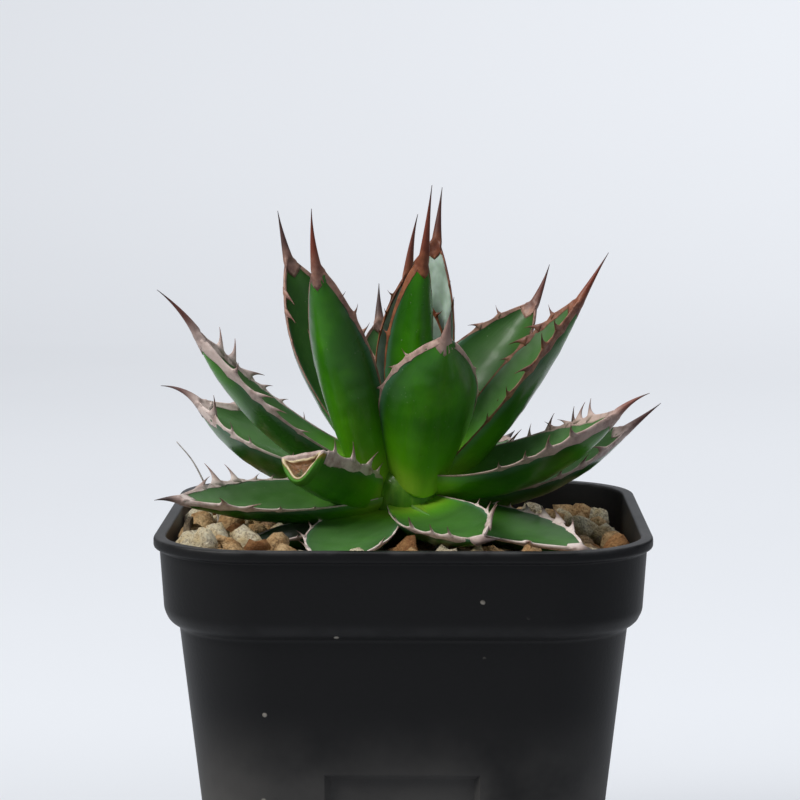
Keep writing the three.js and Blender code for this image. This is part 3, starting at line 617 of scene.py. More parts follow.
def run_tree(piece, recipe, numbers):
    """Gives a piece the tree with these inputs, and keeps what it makes as the piece's own mesh."""
    modifier = piece.modifiers.new(recipe.name, "NODES")
    modifier.node_group = recipe
    for item in recipe.interface.items_tree:
        if item.in_out == "INPUT" and item.name in numbers:
            modifier[item.identifier] = numbers[item.name]
    settle(piece)


# %% [markdown]
# ### The midrib
# Where the midrib is after some length is the sum of all the small steps before it, each in the
# direction of the slope there. An Accumulate Field node adds up such steps along a line of points.
# The leaf's own directions at a point, ahead, up out of the upper face, and left, follow from the
# slope, heading and roll alone. "along" runs from 0 to 1 on the blade, and from 1 to 2 on the spine.

# %% Nodes for the midrib
BLADE_STEPS = 64
SPINE_STEPS = 32


def directions(leaf, along):
    """The directions ahead, up and left of a leaf there."""
    on_spine = larger(along - 1.0, 0.0)
    bent = limit(along) ** leaf["Slope bend"]
    slope = mix(leaf["Slope at root"], leaf["Slope at tip"], bent) + leaf["Spine lift"] * on_spine
    turn = leaf["Heading"] + leaf["Spine hook"] * on_spine
    ahead = combine(cosine(slope) * cosine(turn), cosine(slope) * sine(turn), sine(slope))
    level = combine(sine(turn) * -1.0, cosine(turn), 0.0)
    upright = cross(ahead, level)
    turned, kept = sine(leaf["Roll"]), cosine(leaf["Roll"])
    return ahead, upright * kept + level * turned, level * kept - upright * turned


def add_midrib(leaf):
    """A curve along the midrib of the blade and the spine."""
    index = value_of("InputIndex")
    beyond = larger(index - float(BLADE_STEPS), 0.0)
    is_spine = limit(beyond)
    before = (index - 0.5) / BLADE_STEPS
    after = (beyond - 0.5) / SPINE_STEPS + 1.0
    step = mix(leaf["Length"] / BLADE_STEPS, leaf["Spine length"] / SPINE_STEPS, is_spine) * limit(index)
    ahead = directions(leaf, mix(before, after, is_spine))[0]
    summed = add_node("AccumulateField", Value=ahead * step, data_type="FLOAT_VECTOR")
    line = add_node("CurvePrimitiveLine")
    points = add_node("ResampleCurve", Curve=line, Count=BLADE_STEPS + SPINE_STEPS + 1, mode="COUNT")
    place = leaf["Root"] + Value(summed.outputs["Leading"])
    return move_points(points, place)


def point_on(leaf, along):
    """The midrib's point there."""
    reach = limit(along) * leaf["Length"] + larger(along - 1.0, 0.0) * leaf["Spine length"]
    return value_of("SampleCurve", Curves=leaf["Midrib"], Length=reach, mode="LENGTH", output="Position")


# %% [markdown]
# ### The leaf's outline and section
# The blade is a little narrow at the stem, widest halfway, and closes to the spine along a pointed
# arch. Across the leaf the upper face is hollowed, and the flesh below it is thickest on the midrib.
# A point of the section is named by "across", from -1 to 1, and "high", 0 below and 1 above.

# %% Nodes for the outline and the section
WIDEST = 0.5
WIDTH_AT_ROOT = 0.62
ARCH = 0.9
THIN_EDGE = 0.12 * MM
THICK_EDGE = 0.42 * MM
KEEL_POWER = 0.7
QUARTER_TURN = pi / 2


def half_width(leaf, along):
    half = leaf["Width"] * 0.5
    swelling = mix(WIDTH_AT_ROOT, 1.0, sine(limit(along / WIDEST) * QUARTER_TURN)) * half
    arch = cosine(limit((along - WIDEST) / (1 - WIDEST)) * QUARTER_TURN) ** ARCH
    closing = mix(leaf["Tip width"], half, arch)
    past = calculate("GREATER_THAN", along, WIDEST)
    return mix(swelling, closing, past)


def edge_and_keel(leaf, along):
    """The leaf's thickness at its edge, and how much thicker it is on the midrib."""
    thickness = leaf["Thickness"] * (1.0 - leaf["Thinning"] * larger(along, 0.0) ** 1.6)
    edge = mix(THIN_EDGE, THICK_EDGE, limit(along) ** 2.0)
    return edge, thickness - edge


def section(leaf, along, across, high, up, left):
    """From the midrib to a point of the leaf's skin."""
    half = half_width(leaf, along)
    edge, keel = edge_and_keel(leaf, along)
    flesh = keel * larger(1.0 - across * across, 0.0) ** KEEL_POWER
    depth = (flesh + edge) * (1.0 - high)
    return left * (across * half) + up * (leaf["Cup"] * half * across * across - depth)


def add_tube(round_points, rows):
    """A closed tube, the place along it (0 to 1) and round it (x, y), and 0 below, 1 above."""
    tube = add_node(
        "MeshCylinder", Vertices=round_points, Side_Segments=rows, Radius=1.0, Depth=1.0,
        fill_type="TRIANGLE_FAN")
    x, y, z = split(value_of("InputPosition"))
    rim = larger(1.0 - x * x, 0.0001) ** 0.5
    return tube, z + 0.5, x, y, limit(y / rim * 0.5 + 0.5)


def store(geometry, **values):
    """Writes numbers on the points, for the finishes to read."""
    for name, value in values.items():
        geometry = add_node(
            "StoreNamedAttribute", Geometry=geometry, Name=name, Value=value, data_type="FLOAT",
            domain="POINT")
    return geometry


# %% [markdown]
# ### The blade
# A tube with 48 points round it is pressed into the leaf's section, row by row. The skin of a real
# leaf isn't perfect: it has shallow dents where it lay folded against its neighbours in the bud, and
# they break up the highlights. A little noise along the normals gives them.

# %% The blade's tree
BLADE_POINTS = 48
BLADE_ROWS = 88


def blade_tree():
    leaf = start_tree("agave_blade", [*PLACE_INPUTS, *LEAF_INPUTS, "Unevenness", "Reach"])
    leaf["Midrib"] = add_midrib(leaf)
    tube, share, x, y, high = add_tube(BLADE_POINTS, BLADE_ROWS)
    along = share * leaf["Reach"]
    captured = add_node("CaptureAttribute", Geometry=tube)
    for name, value in (("along", along), ("across", x), ("high", high)):
        captured.capture_items.new("FLOAT", name)
        put(captured.inputs[name], value)
    along, across, high = (Value(captured.outputs[name]) for name in ("along", "across", "high"))
    _, up, left = directions(leaf, along)
    place = point_on(leaf, along) + section(leaf, along, across, high, up, left)
    shaped = move_points(captured, place)
    normal, spot = value_of("InputNormal"), value_of("InputPosition")
    dents = (noise_of(spot, 170.0, 1.0) - 0.5) * 0.6 + (noise_of(spot, 430.0, 1.0) - 0.5) * 0.3
    uneven = add_node("SetPosition", Geometry=shaped, Offset=normal * (dents * leaf["Unevenness"]))
    marked = store(uneven, along=along, across=across, high=high, bloom=leaf["Bloom"])
    end_tree(marked, leaf["Finish"])
    return tree


BLADE_TREE = blade_tree()
print("blade tree:", len(BLADE_TREE.nodes), "nodes")

# %% [markdown]
# ### The horny margin, its teeth and the end spine
# The edge of the leaf is a rim of horn. It is a thin line near the stem, and it widens towards the
# tip, where both sides meet in the end spine. It wraps round the edge of the blade, so it is a second
# tube that is pressed against the same section, a little proud of it.
# Hooked teeth on broad feet stand along the rim. Each tooth is a point
# that the script puts on the piece, with its side, place, size and lean, and the tree grows a tooth
# on each point. So the places stay readable and the shape stays in one spot.

# %% Where the teeth stand
FIRST_TOOTH = 0.2
LAST_TOOTH = 0.88
TOOTH_LENGTH = 2.7
TOOTH_SCALE = 1.28


def tooth_marks(leaf):
    """The teeth of both sides: side, place along the leaf, size in mm and lean."""
    marks = []
    for side, listed in ((1, leaf.get("left")), (-1, leaf.get("right"))):
        if listed:
            marks += [(side, *tooth) for tooth in listed]
            continue
        for index in range(leaf["teeth"]):
            sway = sin(2.4 * index + leaf["number"] + side)
            along = FIRST_TOOTH + (LAST_TOOTH - FIRST_TOOTH) * (index + 0.3 * sway) / (leaf["teeth"] - 1)
            size = TOOTH_LENGTH * (0.9 + 0.2 * sway) * (0.5 + 0.5 * along)
            marks.append((side, along, size, 0.4 * sway))
    return marks


def marks_object(name, marks):
    """An object with one point for each tooth, which carries the tooth's numbers."""
    made = mesh_object(name, [(0, 0, 0)] * len(marks), [])
    for place, label in enumerate(("side", "spot", "size", "lean")):
        numbers = made.data.attributes.new(label, "FLOAT", "POINT")
        scale = MM * TOOTH_SCALE if label == "size" else 1
        numbers.data.foreach_set("value", [mark[place] * scale for mark in marks])
    return made


# %% The rim's nodes
RIM_POINTS = 14
RIM_ROWS = 150
THIN_RIM = 0.12 * MM
COVER = 0.08 * MM
FOOT_REACH = 1.0
FOOT_LIFT = 0.26


def edge_frame(leaf, along, side):
    """The leaf's edge there, the way out of it, and the leaf's directions."""
    ahead, up, left = directions(leaf, along)
    half = half_width(leaf, along)
    edge = point_on(leaf, along) + left * (side * half) + up * (leaf["Cup"] * half)
    out = unit(left * side + up * (leaf["Cup"] * 2.0))
    return edge, out, ahead, up, left


def mark(name):
    """A number that a tooth's point carries."""
    return value_of("InputNamedAttribute", Name=name, data_type="FLOAT")


def tooth_points(leaf):
    """The marks as points on the leaf's edge, and the leaf's directions there."""
    edge, out, ahead, up, left = edge_frame(leaf, mark("spot"), mark("side"))
    made = add_node("MeshToPoints", Mesh=leaf["Geometry"], Position=edge + out * COVER)
    return made, out, ahead, up


def tooth_foot(points, edge):
    """How much of a tooth's broad foot reaches this place of the edge, in metres."""
    distance = add_node("Proximity", Geometry=points, Source_Position=edge, target_element="POINTS")
    nearest = add_node("SampleNearest", Geometry=points, Sample_Position=edge, domain="POINT")
    sampled = add_node(
        "SampleIndex", Geometry=points, Value=mark("size"), Index=nearest, data_type="FLOAT",
        domain="POINT")
    size = Value(sampled.outputs[0])
    away = Value(distance.outputs["Distance"]) / (size * FOOT_REACH)
    return larger(1.0 - away, 0.0) ** 2.0 * size


def add_rim(leaf, side, points):
    """One side's rim of horn."""
    tube, share, x, y, high = add_tube(RIM_POINTS, RIM_ROWS)
    along = mix(leaf["Rim start"], leaf["Rim end"], share)
    outward = x * side
    edge, out, ahead, up, left = edge_frame(leaf, along, side)
    ripple = noise_of(combine(along * 14.0 + leaf["Heading"] * 9.0, side * 3.0, 0.0), 1.0, 2.0)
    foot = tooth_foot(points, edge)
    grown = mix(THIN_RIM, leaf["Rim width"], along ** leaf["Rim bend"])
    wrap = (grown * mix(0.75, 1.25, ripple) + foot * 0.1) * (1.0 - outward) * 0.5
    above = wrap / half_width(leaf, along)
    below = (wrap / edge_and_keel(leaf, along)[1]) ** (1 / KEEL_POWER) * 0.5
    inward = limit(mix(smaller(above, below), above, high))
    skin = point_on(leaf, along) + section(leaf, along, (1.0 - inward) * side, high, up, left)
    closing = 1.0 - smooth(along, 0.93, 1.0)
    ridge = mix(0.05 * MM, 0.25 * MM, along) * mix(0.75, 1.25, ripple) * closing
    swell = ((outward + 1.0) * 0.5) ** 2.0
    to_tooth = unit(out + up * leaf["Tooth stand"]) * (foot * FOOT_LIFT)
    cover = mix(0.4, 1.0, along) * mix(0.75, 1.0, closing) * COVER
    place = skin + up * ((high - 0.5) * 2.0 * cover) + out * (ridge * swell + cover * 0.5) + to_tooth * swell
    return move_points(store(tube, along=along, tip=0.0, hollow=0.0), place)


# %% [markdown]
# The end spine of a real leaf is hard, round and needle-sharp, and it grows out of the rim without a
# step. A separate cone would show a seam. So it is one more tube: it starts as a flat tongue with the
# blade's own section, wraps the blade's tip, and turns round just beyond it.

# %% The spine's nodes
SPINE_POINTS = 20
SPINE_ROWS = 60
SPINE_FROM = 0.985
SPINE_TONGUE = 0.05
SPINE_RADIUS = 1.12 * MM


def add_spine(leaf):
    """The end spine. It starts as flat as the blade's tip, as a tongue, and turns round and slender."""
    tube, share, x, y, high = add_tube(SPINE_POINTS, SPINE_ROWS)
    start = SPINE_FROM - (1.0 - absolute(x)) * SPINE_TONGUE
    along = start + share * (2.0 - start)
    beyond = larger(along - 1.0, 0.0)
    ahead, up, left = directions(leaf, along)
    radius = (1.0 - beyond) ** 1.35 * SPINE_RADIUS + 0.06 * MM
    round_part = left * (x * radius) + up * (y * radius * 0.86 - 0.35 * MM * (1.0 - beyond))
    tip = smaller(along, 1.0)
    flat_part = section(leaf, tip, x * 1.06, high, up, left) + up * ((high - 0.5) * 2.2 * COVER)
    shape = mix(flat_part, round_part, smooth(beyond, 0.0, 0.15))
    place = point_on(leaf, along) + shape
    return move_points(store(tube, along=along, tip=beyond, hollow=0.0), place)


# %% [markdown]
# One leaf lost its tip long ago, and the wound dried to a hollow with a pale, swollen lip. It could
# be carved with a boolean, but its floor is torn and uneven. So it is grown like the rest: a tube
# closes the blunt end, and noise lifts its lip and dents its floor. "hollow" is 0 on the lip and
# rises to 1 in the middle of the floor, for the finish to follow.

# %% The scar's nodes
SCAR_POINTS = 48
SCAR_ROWS = 50
SCAR_FROM = 0.9
SCAR_UNDER = 0.962
SCAR_COLLAR = 0.2
SCAR_DEPTH = 0.45 * MM


def add_scar(leaf):
    """The end of a leaf that broke off: a swollen rim round a torn, dried hollow."""
    tube, share, x, y, high = add_tube(SCAR_POINTS, SCAR_ROWS)
    inside = limit((share - SCAR_COLLAR) / (1.0 - SCAR_COLLAR))
    on_collar = limit(share / SCAR_COLLAR)
    lip = smooth(y, -0.2, 0.7)
    start = mix(SCAR_UNDER, SCAR_FROM, lip)
    along = start + on_collar * (1.0 - start)
    ahead, up, left = directions(leaf, along)
    filled = up * (leaf["Cup"] * half_width(leaf, along) * (1.0 - x * x) * high * smooth(on_collar, 0.0, 0.6))
    middle = up * (leaf["Thickness"] * -0.36)
    rim = section(leaf, along, x, high, up, left) + filled
    wobble = noise_of(combine(x * 1.3, y * 1.3, leaf["Heading"]), 1.4, 2.0) - 0.5
    cover = unit(rim - middle) * (mix(0.6, 2.0, lip) * COVER + wobble * lip * (0.9 * MM))
    low = 1.0 - smooth(y, -0.75, 0.2)
    border = lip * 0.3 + low * 0.42
    hollow = limit((inside - border) / (1.0 - border))
    skin = low * (1.0 - smooth(inside, border - 0.14, border))
    bulge = low * sine(limit(inside * 2.4) * QUARTER_TURN) * (0.55 * MM)
    spot = combine(x * (1.0 - inside) * 2.2, y * (1.0 - inside) * 2.2, leaf["Heading"])
    torn = noise_of(spot, 1.6, 3.0) - 0.5
    swollen = sine(limit(inside * 3.4) * (2.0 * QUARTER_TURN)) * (0.35 * MM)
    sunk = smooth(hollow, 0.06, 0.4) * SCAR_DEPTH - swollen
    depth = sunk - torn * smooth(inside, 0.05, 0.3) * (0.7 * MM) - bulge
    place = point_on(leaf, along) + mix(rim + cover, middle, inside) - ahead * depth
    return move_points(store(tube, along=along, tip=0.0, hollow=hollow, skin=skin), place)


# %% [markdown]
# A tooth is a thin blade with a broad foot and a hooked point. Each is a small tube, flattened and
# bent, that is set on its marked point with the lean from the table. A switch then gives each leaf
# its spine or, where the spine has no length, the scar.

# %% The teeth's nodes and the whole horn
TOOTH_POINTS = 10
TOOTH_ROWS = 11
TOOTH_HOOK = 0.4


def add_teeth(leaf, marks, out, ahead, up):
    """A hooked tooth on each marked point."""
    size, lean = mark("size"), mark("lean")
    aim = unit(out + up * leaf["Tooth stand"] + ahead * lean)
    turn = calculate("SIGN", lean + 0.0001)
    rotation = add_node(
        "FunctionNodeAxesToRotation", Primary_Axis=aim, Secondary_Axis=ahead * turn, primary_axis="Z",
        secondary_axis="X")
    tube, height, x, y, _ = add_tube(TOOTH_POINTS, TOOTH_ROWS)
    foot = (1.0 - height) ** 3.0
    hook = height ** 2.0 * TOOTH_HOOK
    wide = foot * leaf["Tooth foot"] + (1.0 - height) * 0.10 + 0.010
    thick = (foot * 0.04 + (1.0 - height) * 0.085 + 0.012) * smooth(height, -0.05, 0.14)
    shape = combine(x * wide + hook, y * thick, height * 1.06 - 0.06)
    tooth = move_points(store(tube, along=0.8, tip=height * 0.5, hollow=0.0), shape)
    return add_node(
        "InstanceOnPoints", Points=marks, Instance=tooth, Rotation=rotation,
        Scale=combine(size, size, size))


def horn_tree():
    leaf = start_tree("agave_horn", [
        *PLACE_INPUTS, *LEAF_INPUTS, "Rim width", "Rim bend", "Rim start", "Rim end", "Tooth foot",
        "Tooth stand", "Ink"])
    leaf["Midrib"] = add_midrib(leaf)
    points, out, ahead, up = tooth_points(leaf)
    parts = [add_rim(leaf, side, points) for side in (1.0, -1.0)]
    parts.append(add_teeth(leaf, points, out, ahead, up))
    has_spine = calculate("GREATER_THAN", leaf["Spine length"], 0.0001)
    end = add_node(
        "Switch", {"Switch": has_spine, "True": add_spine(leaf), "False": add_scar(leaf)},
        input_type="GEOMETRY")
    parts.append(end)
    joined = add_node("JoinGeometry")
    for part in parts:
        put(joined.inputs[0], part)
    marked = store(joined, weather=leaf["Weather"], ink=leaf["Ink"])
    end_tree(marked, leaf["Finish"])
    return tree


HORN_TREE = horn_tree()
print("horn tree:", len(HORN_TREE.nodes), "nodes")

# %% [markdown]
# ## The leaf's skin
# Agave skin is a deep, saturated green under clear wax. Near the stem it never saw the sun and is
# bright yellow-green. The upper face carries a bloom of pale powder, which is thick on the leaves
# that have just unrolled. Faint fibres run along the leaf, and tiny pale pores are sprinkled over it.
# The shape carries how far along and across each point lies, so the finish can follow the leaf.
# Towards its edges the blade is darkened as painted shade, and a grey-blue painted reflection lines the very
# edge.

# %% The skin's finish
def leaf_finish(name, bloom_colour):
    material, where = start_finish(
        name, Specular_IOR_Level=0.4, Coat_Weight=0.16, Coat_Roughness=0.16, Subsurface_Weight=0.12,
        Subsurface_Radius=(0.0006, 0.0014, 0.0003))
    along, across, high = carried("along"), carried("across"), carried("high")
    bloom = carried("bloom")
    clouds = noise_of(where, 110, 3, 0.55)
    blotches = noise_of(where, 330, 2, 0.5)
    fibre_place = combine(across * 26.0, along * 1.6, high * 3.0)
    fibres = noise_of(fibre_place, 1.0, 3, 0.6)
    pores = spots(where, 900, 0.16) * smooth(noise_of(where, 260, 1), 0.52, 0.66)
    edge = absolute(across) ** 2.5
    colour = coats(
        blend((50, 122, 3), (72, 152, 5), smooth(clouds, 0.35, 0.7)),
        ((100, 176, 16), (1 - smooth(along, 0.10, 0.55)) * 0.8),
        ((172, 214, 66), (1 - smooth(along, 0.0, 0.24)) * 0.8),
        ((42, 76, 28), high * smooth(along, 0.1, 0.4) * 0.7),
        # painted shade: the blade darkens towards its edges, where its face turns away from the light
        ((14, 60, 14), edge * 0.85 * smooth(along, 0.15, 0.5)),
        # painted reflection: a grey-blue sheen along the very edge of the blade
        ((92, 132, 112), smooth(edge, 0.72, 1.0) * 0.5),
        ((64, 118, 74), smooth(fibres, 0.55, 0.8) * 0.16))
    powder = bloom * high * smooth(along, 0.06, 0.3) * mix(0.62, 1.0, smooth(blotches, 0.3, 0.7))
    colour = coats(colour, (bloom_colour, limit(powder)), ((196, 208, 170), pores * 0.12))
    return end_finish(
        material, colour, fibres * 0.6 + blotches * 0.6 - pores * 0.5, 0.00006,
        limit(0.29 + high * 0.16 + powder * 0.2 + (clouds - 0.5) * 0.10))


LEAF_SKIN = leaf_finish("leaf_skin", (108, 150, 96))
YOUNG_SKIN = leaf_finish("young_leaf_skin", (190, 212, 200))
print("finishes:", LEAF_SKIN.name, YOUNG_SKIN.name)

# %% [markdown]
# ## The horn's finish
# Fresh horn is red-brown, and sun and water bleach it: on the old leaves the rim is grey-white, with
# brown only in the spine and in the very tips of the teeth. One number, "weather", drives it from
# the one to the other. Horn is layered along the edge, so its grain is a stretched noise, and its
# surface is dull and slightly flaky.

# %% The horn
def horn_finish(name):
    material, where = start_finish(name, Specular_IOR_Level=0.4)
    weather, tip, along = carried("weather"), carried("tip"), carried("along")
    ink, hollow, skin = carried("ink"), carried("hollow"), carried("skin")
    clouds = noise_of(where, 420, 3, 0.6)
    flakes = noise_of(where, 1500, 3, 0.65)
    fresh = blend((158, 98, 66), (104, 54, 36), smooth(clouds, 0.35, 0.7))
    bleached = blend((230, 216, 210), (184, 158, 150), smooth(clouds, 0.42, 0.75))
    colour = blend(fresh, bleached, limit(weather * 1.15 - 0.1 + (flakes - 0.5) * 0.35))
    near_stem = 1 - smooth(along, 0.1, 0.55)
    colour = blend(colour, (112, 66, 44), near_stem * (1 - weather) * 0.7)
    spine = coats(
        blend((172, 142, 134), (126, 56, 38), smooth(ink, 0.1, 0.5)),
        ((58, 50, 52), smooth(ink, 0.5, 1.0)),
        ((170, 146, 138), smooth(weather, 0.7, 0.9) * (1 - smooth(tip, 0.2, 0.6)) * 0.8))
    on_spine = smooth(along, 0.97, 1.02)
    colour = blend(colour, spine, on_spine * mix(0.25, 0.95, smooth(tip, 0.0, 0.45)))
    tooth = blend((92, 44, 30), (128, 92, 84), smooth(weather, 0.4, 0.9))
    colour = coats(
        colour,
        (tooth, (1 - on_spine) * smooth(tip, 0.08, 0.4) * 0.85),
        ((48, 32, 32), smooth(tip, 0.55, 1.0) * on_spine * 0.8))
    torn = coats(
        blend((222, 206, 164), (128, 88, 52), smooth(hollow, 0.07, 0.2)),
        ((78, 76, 30), smooth(clouds, 0.42, 0.6) * smooth(hollow, 0.14, 0.3)),
        ((58, 38, 26), smooth(flakes, 0.5, 0.75) * smooth(hollow, 0.2, 0.4)))
    colour = blend(colour, torn, smooth(hollow, 0.0, 0.01))
    flesh = blend((138, 116, 40), (62, 126, 14), smooth(skin, 0.35, 0.8))
    colour = blend(colour, flesh, smooth(skin, 0.1, 0.3))
    return end_finish(
        material, colour, flakes * 0.7 + clouds * 0.5, 0.00009,
        0.44 + weather * 0.16 + (flakes - 0.5) * 0.16)


YOUNG_HORN = horn_finish("young_horn_grain")
OLD_HORN = horn_finish("old_horn_grain")
print("finishes:", YOUNG_HORN.name, OLD_HORN.name)

# %% Grow all the leaves
UNEVENNESS = 0.55 * MM
BLADE_TO_SCAR = 0.972
RIM_TO_SCAR = 0.95
TOOTH_FOOT = 0.26

blades = []
for leaf in leaves:
    name = f"leaf_{leaf['number']:02d}"
    numbers = leaf_numbers(leaf)
    young = leaf["number"] <= YOUNG_BLADES
    blade = mesh_object(f"{name}_skin", [], [])
    whole = leaf["spine"] > 0
    run_tree(blade, BLADE_TREE, {
        **numbers, "Unevenness": UNEVENNESS, "Reach": 1.0 if whole else BLADE_TO_SCAR,
        "Finish": YOUNG_SKIN if young else LEAF_SKIN})
    finish_piece(blade, "young_leaf" if young else "leaf", f"{name}_blade")
    blades.append(blade)

    young = leaf["number"] <= YOUNG_HORNS
    horn = marks_object(f"{name}_horn", tooth_marks(leaf))
    run_tree(horn, HORN_TREE, {
        **numbers, "Rim width": leaf["rim"] * MM, "Rim bend": float(leaf["rim_bend"]),
        "Rim start": leaf["rim_start"], "Rim end": 1.0 if whole else RIM_TO_SCAR,
        "Tooth foot": TOOTH_FOOT, "Tooth stand": float(leaf["stand"]), "Ink": float(leaf["ink"]),
        "Finish": YOUNG_HORN if young else OLD_HORN})
    finish_piece(horn, "young_horn" if young else "old_horn", f"{name}_margin")
print("leaf faces:", sum(len(blade.data.polygons) for blade in blades))

# %% [markdown]
# ## The heart
# In the middle the leaves join a short stem. Little of it shows, so a turned profile is enough. It
# is pale, because light never reaches it.

# %% The heart
HEART_PROFILE = [(0.01, 66), (4.01, 67), (6.51, 75), (8.01, 81), (8.21, 85), (6.61, 88.5), (4.01, 91.2),
                 (0.41, 92.6)]
HEART_POINTS = 40


def heart_finish():
    material, where = start_finish("stem_skin", Roughness=0.38, Coat_Weight=0.2)
    streaks = noise_of(where * (900.0, 900.0, 160.0), 1.0, 3)
    colour = blend((88, 150, 20), (120, 176, 44), smooth(streaks, 0.35, 0.7))
    return end_finish(material, colour, streaks, 0.00012)


heart_angles = [2 * pi * step / HEART_POINTS for step in range(HEART_POINTS)]
heart_rings = [[Vector((radius * cos(a), radius * sin(a), height)) * MM for a in heart_angles]
               for radius, height in HEART_PROFILE]
heart = mesh_object("heart_stem", *loft(heart_rings), heart_finish())
finish_piece(heart, "pale_stem", "heart")
print("heart:", len(heart.data.polygons), "faces")

# %% [markdown]
# ## The grit
# The pot is filled with coarse dry grit: rounded lumps of fired clay and a few pieces of cream
# pumice. Grains that repeat by the hundred are a job for Geometry Nodes: points are spread over the
# bed, those that a leaf covers are dropped, a small ball is set on each with its own turn and size,
# and noise then dents every ball in its own way. The grit is heaped towards the front and the left,
# as it was poured.

# %% The grit's finishes
def grit_finish():
    material, where = start_finish("grit_grains", Roughness=0.95, Specular_IOR_Level=0.2)
    kind = carried("kind")
    clouds = noise_of(where, 300, 3, 0.6)
    pits = noise_of(where, 1500, 4, 0.75)
    clay = blend((236, 204, 156), (202, 158, 108), smooth(clouds, 0.3, 0.7))
    pumice = blend((250, 240, 212), (232, 210, 164), smooth(clouds, 0.35, 0.7))
    dark = blend((150, 102, 64), (188, 142, 94), smooth(clouds, 0.35, 0.7))
    colour = coats(
        blend(clay, dark, smooth(kind, 0.42, 0.46)),
        (pumice, smooth(kind, 0.6, 0.62)),
        # painted shade: the grains darken in their pits
        ((112, 72, 40), (1 - smooth(pits, 0.38, 0.52)) * 0.5))
    return end_finish(material, colour, pits * 1.5 + clouds, 0.0009)


def bed_finish():
    material, where = start_finish("grit_bed", Roughness=1.0, Specular_IOR_Level=0.1)
    crumbs = noise_of(where, 900, 4, 0.7)
    colour = blend((40, 28, 20), (128, 92, 62), smooth(crumbs, 0.42, 0.72))
    return end_finish(material, colour, crumbs, 0.0006)


GRIT = grit_finish()
print("finishes:", GRIT.name)

# %% The bed
BED_TOP = 72.4
BED_HALF = 42.7
BED_CORNER = 0.42
BED_RINGS = 26
BED_POINTS = 9


def bed_rise(x, y):
    """The grit is heaped a little towards the front and the left."""
    def ramp(away):
        t = min(max((away - 12) / 22, 0), 1)
        return t * t * (3 - 2 * t)
    return 2.2 * ramp(-y) + 2.8 * ramp(-x)


def bed_ring(share, height):
    """A ring of the bed's top: a small round one in the middle, the pot's inside at share 1."""
    half = BED_HALF * share
    return rounded_square(half, max(half * BED_CORNER, 0.05), height, BED_POINTS)


bed_rings = [rounded_square(32.7, 12.7, 2.8, BED_POINTS), rounded_square(39.1, 15.5, 64, BED_POINTS),
             rounded_square(41.9, 16.4, 67, BED_POINTS), bed_ring(1, BED_TOP - 1)]
bed_rings += [bed_ring(1 - step / BED_RINGS, BED_TOP) for step in range(1, BED_RINGS)]
bed_rings.append(bed_ring(0.004, BED_TOP))
for ring in bed_rings[4:]:
    for point in ring:
        bumps = noise.noise(point * 160) * 0.9 + noise.noise(point * 420) * 0.4
        point.z += (bumps + bed_rise(point.x / MM, point.y / MM)) * MM
bed = mesh_object("grit_bed", *loft(bed_rings), bed_finish())
finish_piece(bed, "grit", "substrate")
print("bed:", len(bed.data.polygons), "faces")

# %% The grains' tree
GRAIN_SEED = 4711
GRAIN_HALF = 39.6
GRAIN_RINGS = 12


def grit_tree():
    inputs = start_tree("loose_grit", ["Leaves", "Spacing", "Smallest", "Largest", "Clearance", "Seed"])
    spread = add_node(
        "DistributePointsOnFaces", Mesh=inputs["Geometry"], Distance_Min=inputs["Spacing"], Density_Max=4e5,
        Seed=inputs["Seed"], distribute_method="POISSON")

    def draw(low, high, offset, kind="FLOAT"):
        made = add_node("FunctionNodeRandomValue", data_type=kind)
        sockets = [socket for socket in made.inputs if socket.enabled]
        for socket, value in zip(sockets, (low, high)):
            put(socket, value)
        put(made.inputs["Seed"], inputs["Seed"] + float(offset))
        return Value(next(socket for socket in made.outputs if socket.enabled))

    size = draw(inputs["Smallest"], inputs["Largest"], 1)
    lift = draw(-0.6, 0.9, 2) * MM
    points = add_node("SetPosition", Geometry=spread.outputs["Points"], Offset=combine(0.0, 0.0, lift))
    guard = add_node("ObjectInfo", Object=inputs["Leaves"], transform_space="RELATIVE")
    near = add_node("Proximity", Geometry=guard.outputs["Geometry"], target_element="FACES")
    too_near = calculate("LESS_THAN", Value(near.outputs["Distance"]), size * inputs["Clearance"])
    clear = add_node("DeleteGeometry", Geometry=points, Selection=too_near, domain="POINT")
    ball = add_node("MeshIcoSphere", Radius=1.0, Subdivisions=2)
    turn = draw((0.0, 0.0, 0.0), (6.28, 6.28, 6.28), 3, "FLOAT_VECTOR")
    squash = draw((0.85, 0.72, 0.66), (1.25, 1.0, 0.9), 4, "FLOAT_VECTOR")
    kinds = store(clear, kind=draw(0.0, 1.0, 5))
    grains = add_node(
        "InstanceOnPoints", Points=kinds, Instance=ball.outputs["Mesh"], Rotation=turn, Scale=squash * size)
    real = add_node("RealizeInstances", Geometry=grains)
    spot = value_of("InputPosition")
    dent = value_of("ShaderNodeTexNoise", Vector=spot, Scale=620.0, Detail=3.0, output="Color")
    offset = (dent - (0.5, 0.5, 0.5)) * (3.6 * MM)
    dented = add_node("SetPosition", Geometry=real, Offset=offset)
    end_tree(dented, inputs["Finish"])
    return tree


guard_mesh = bmesh.new()
for blade in blades:
    guard_mesh.from_mesh(blade.data)
guard = object_from("leaf_guard", guard_mesh)

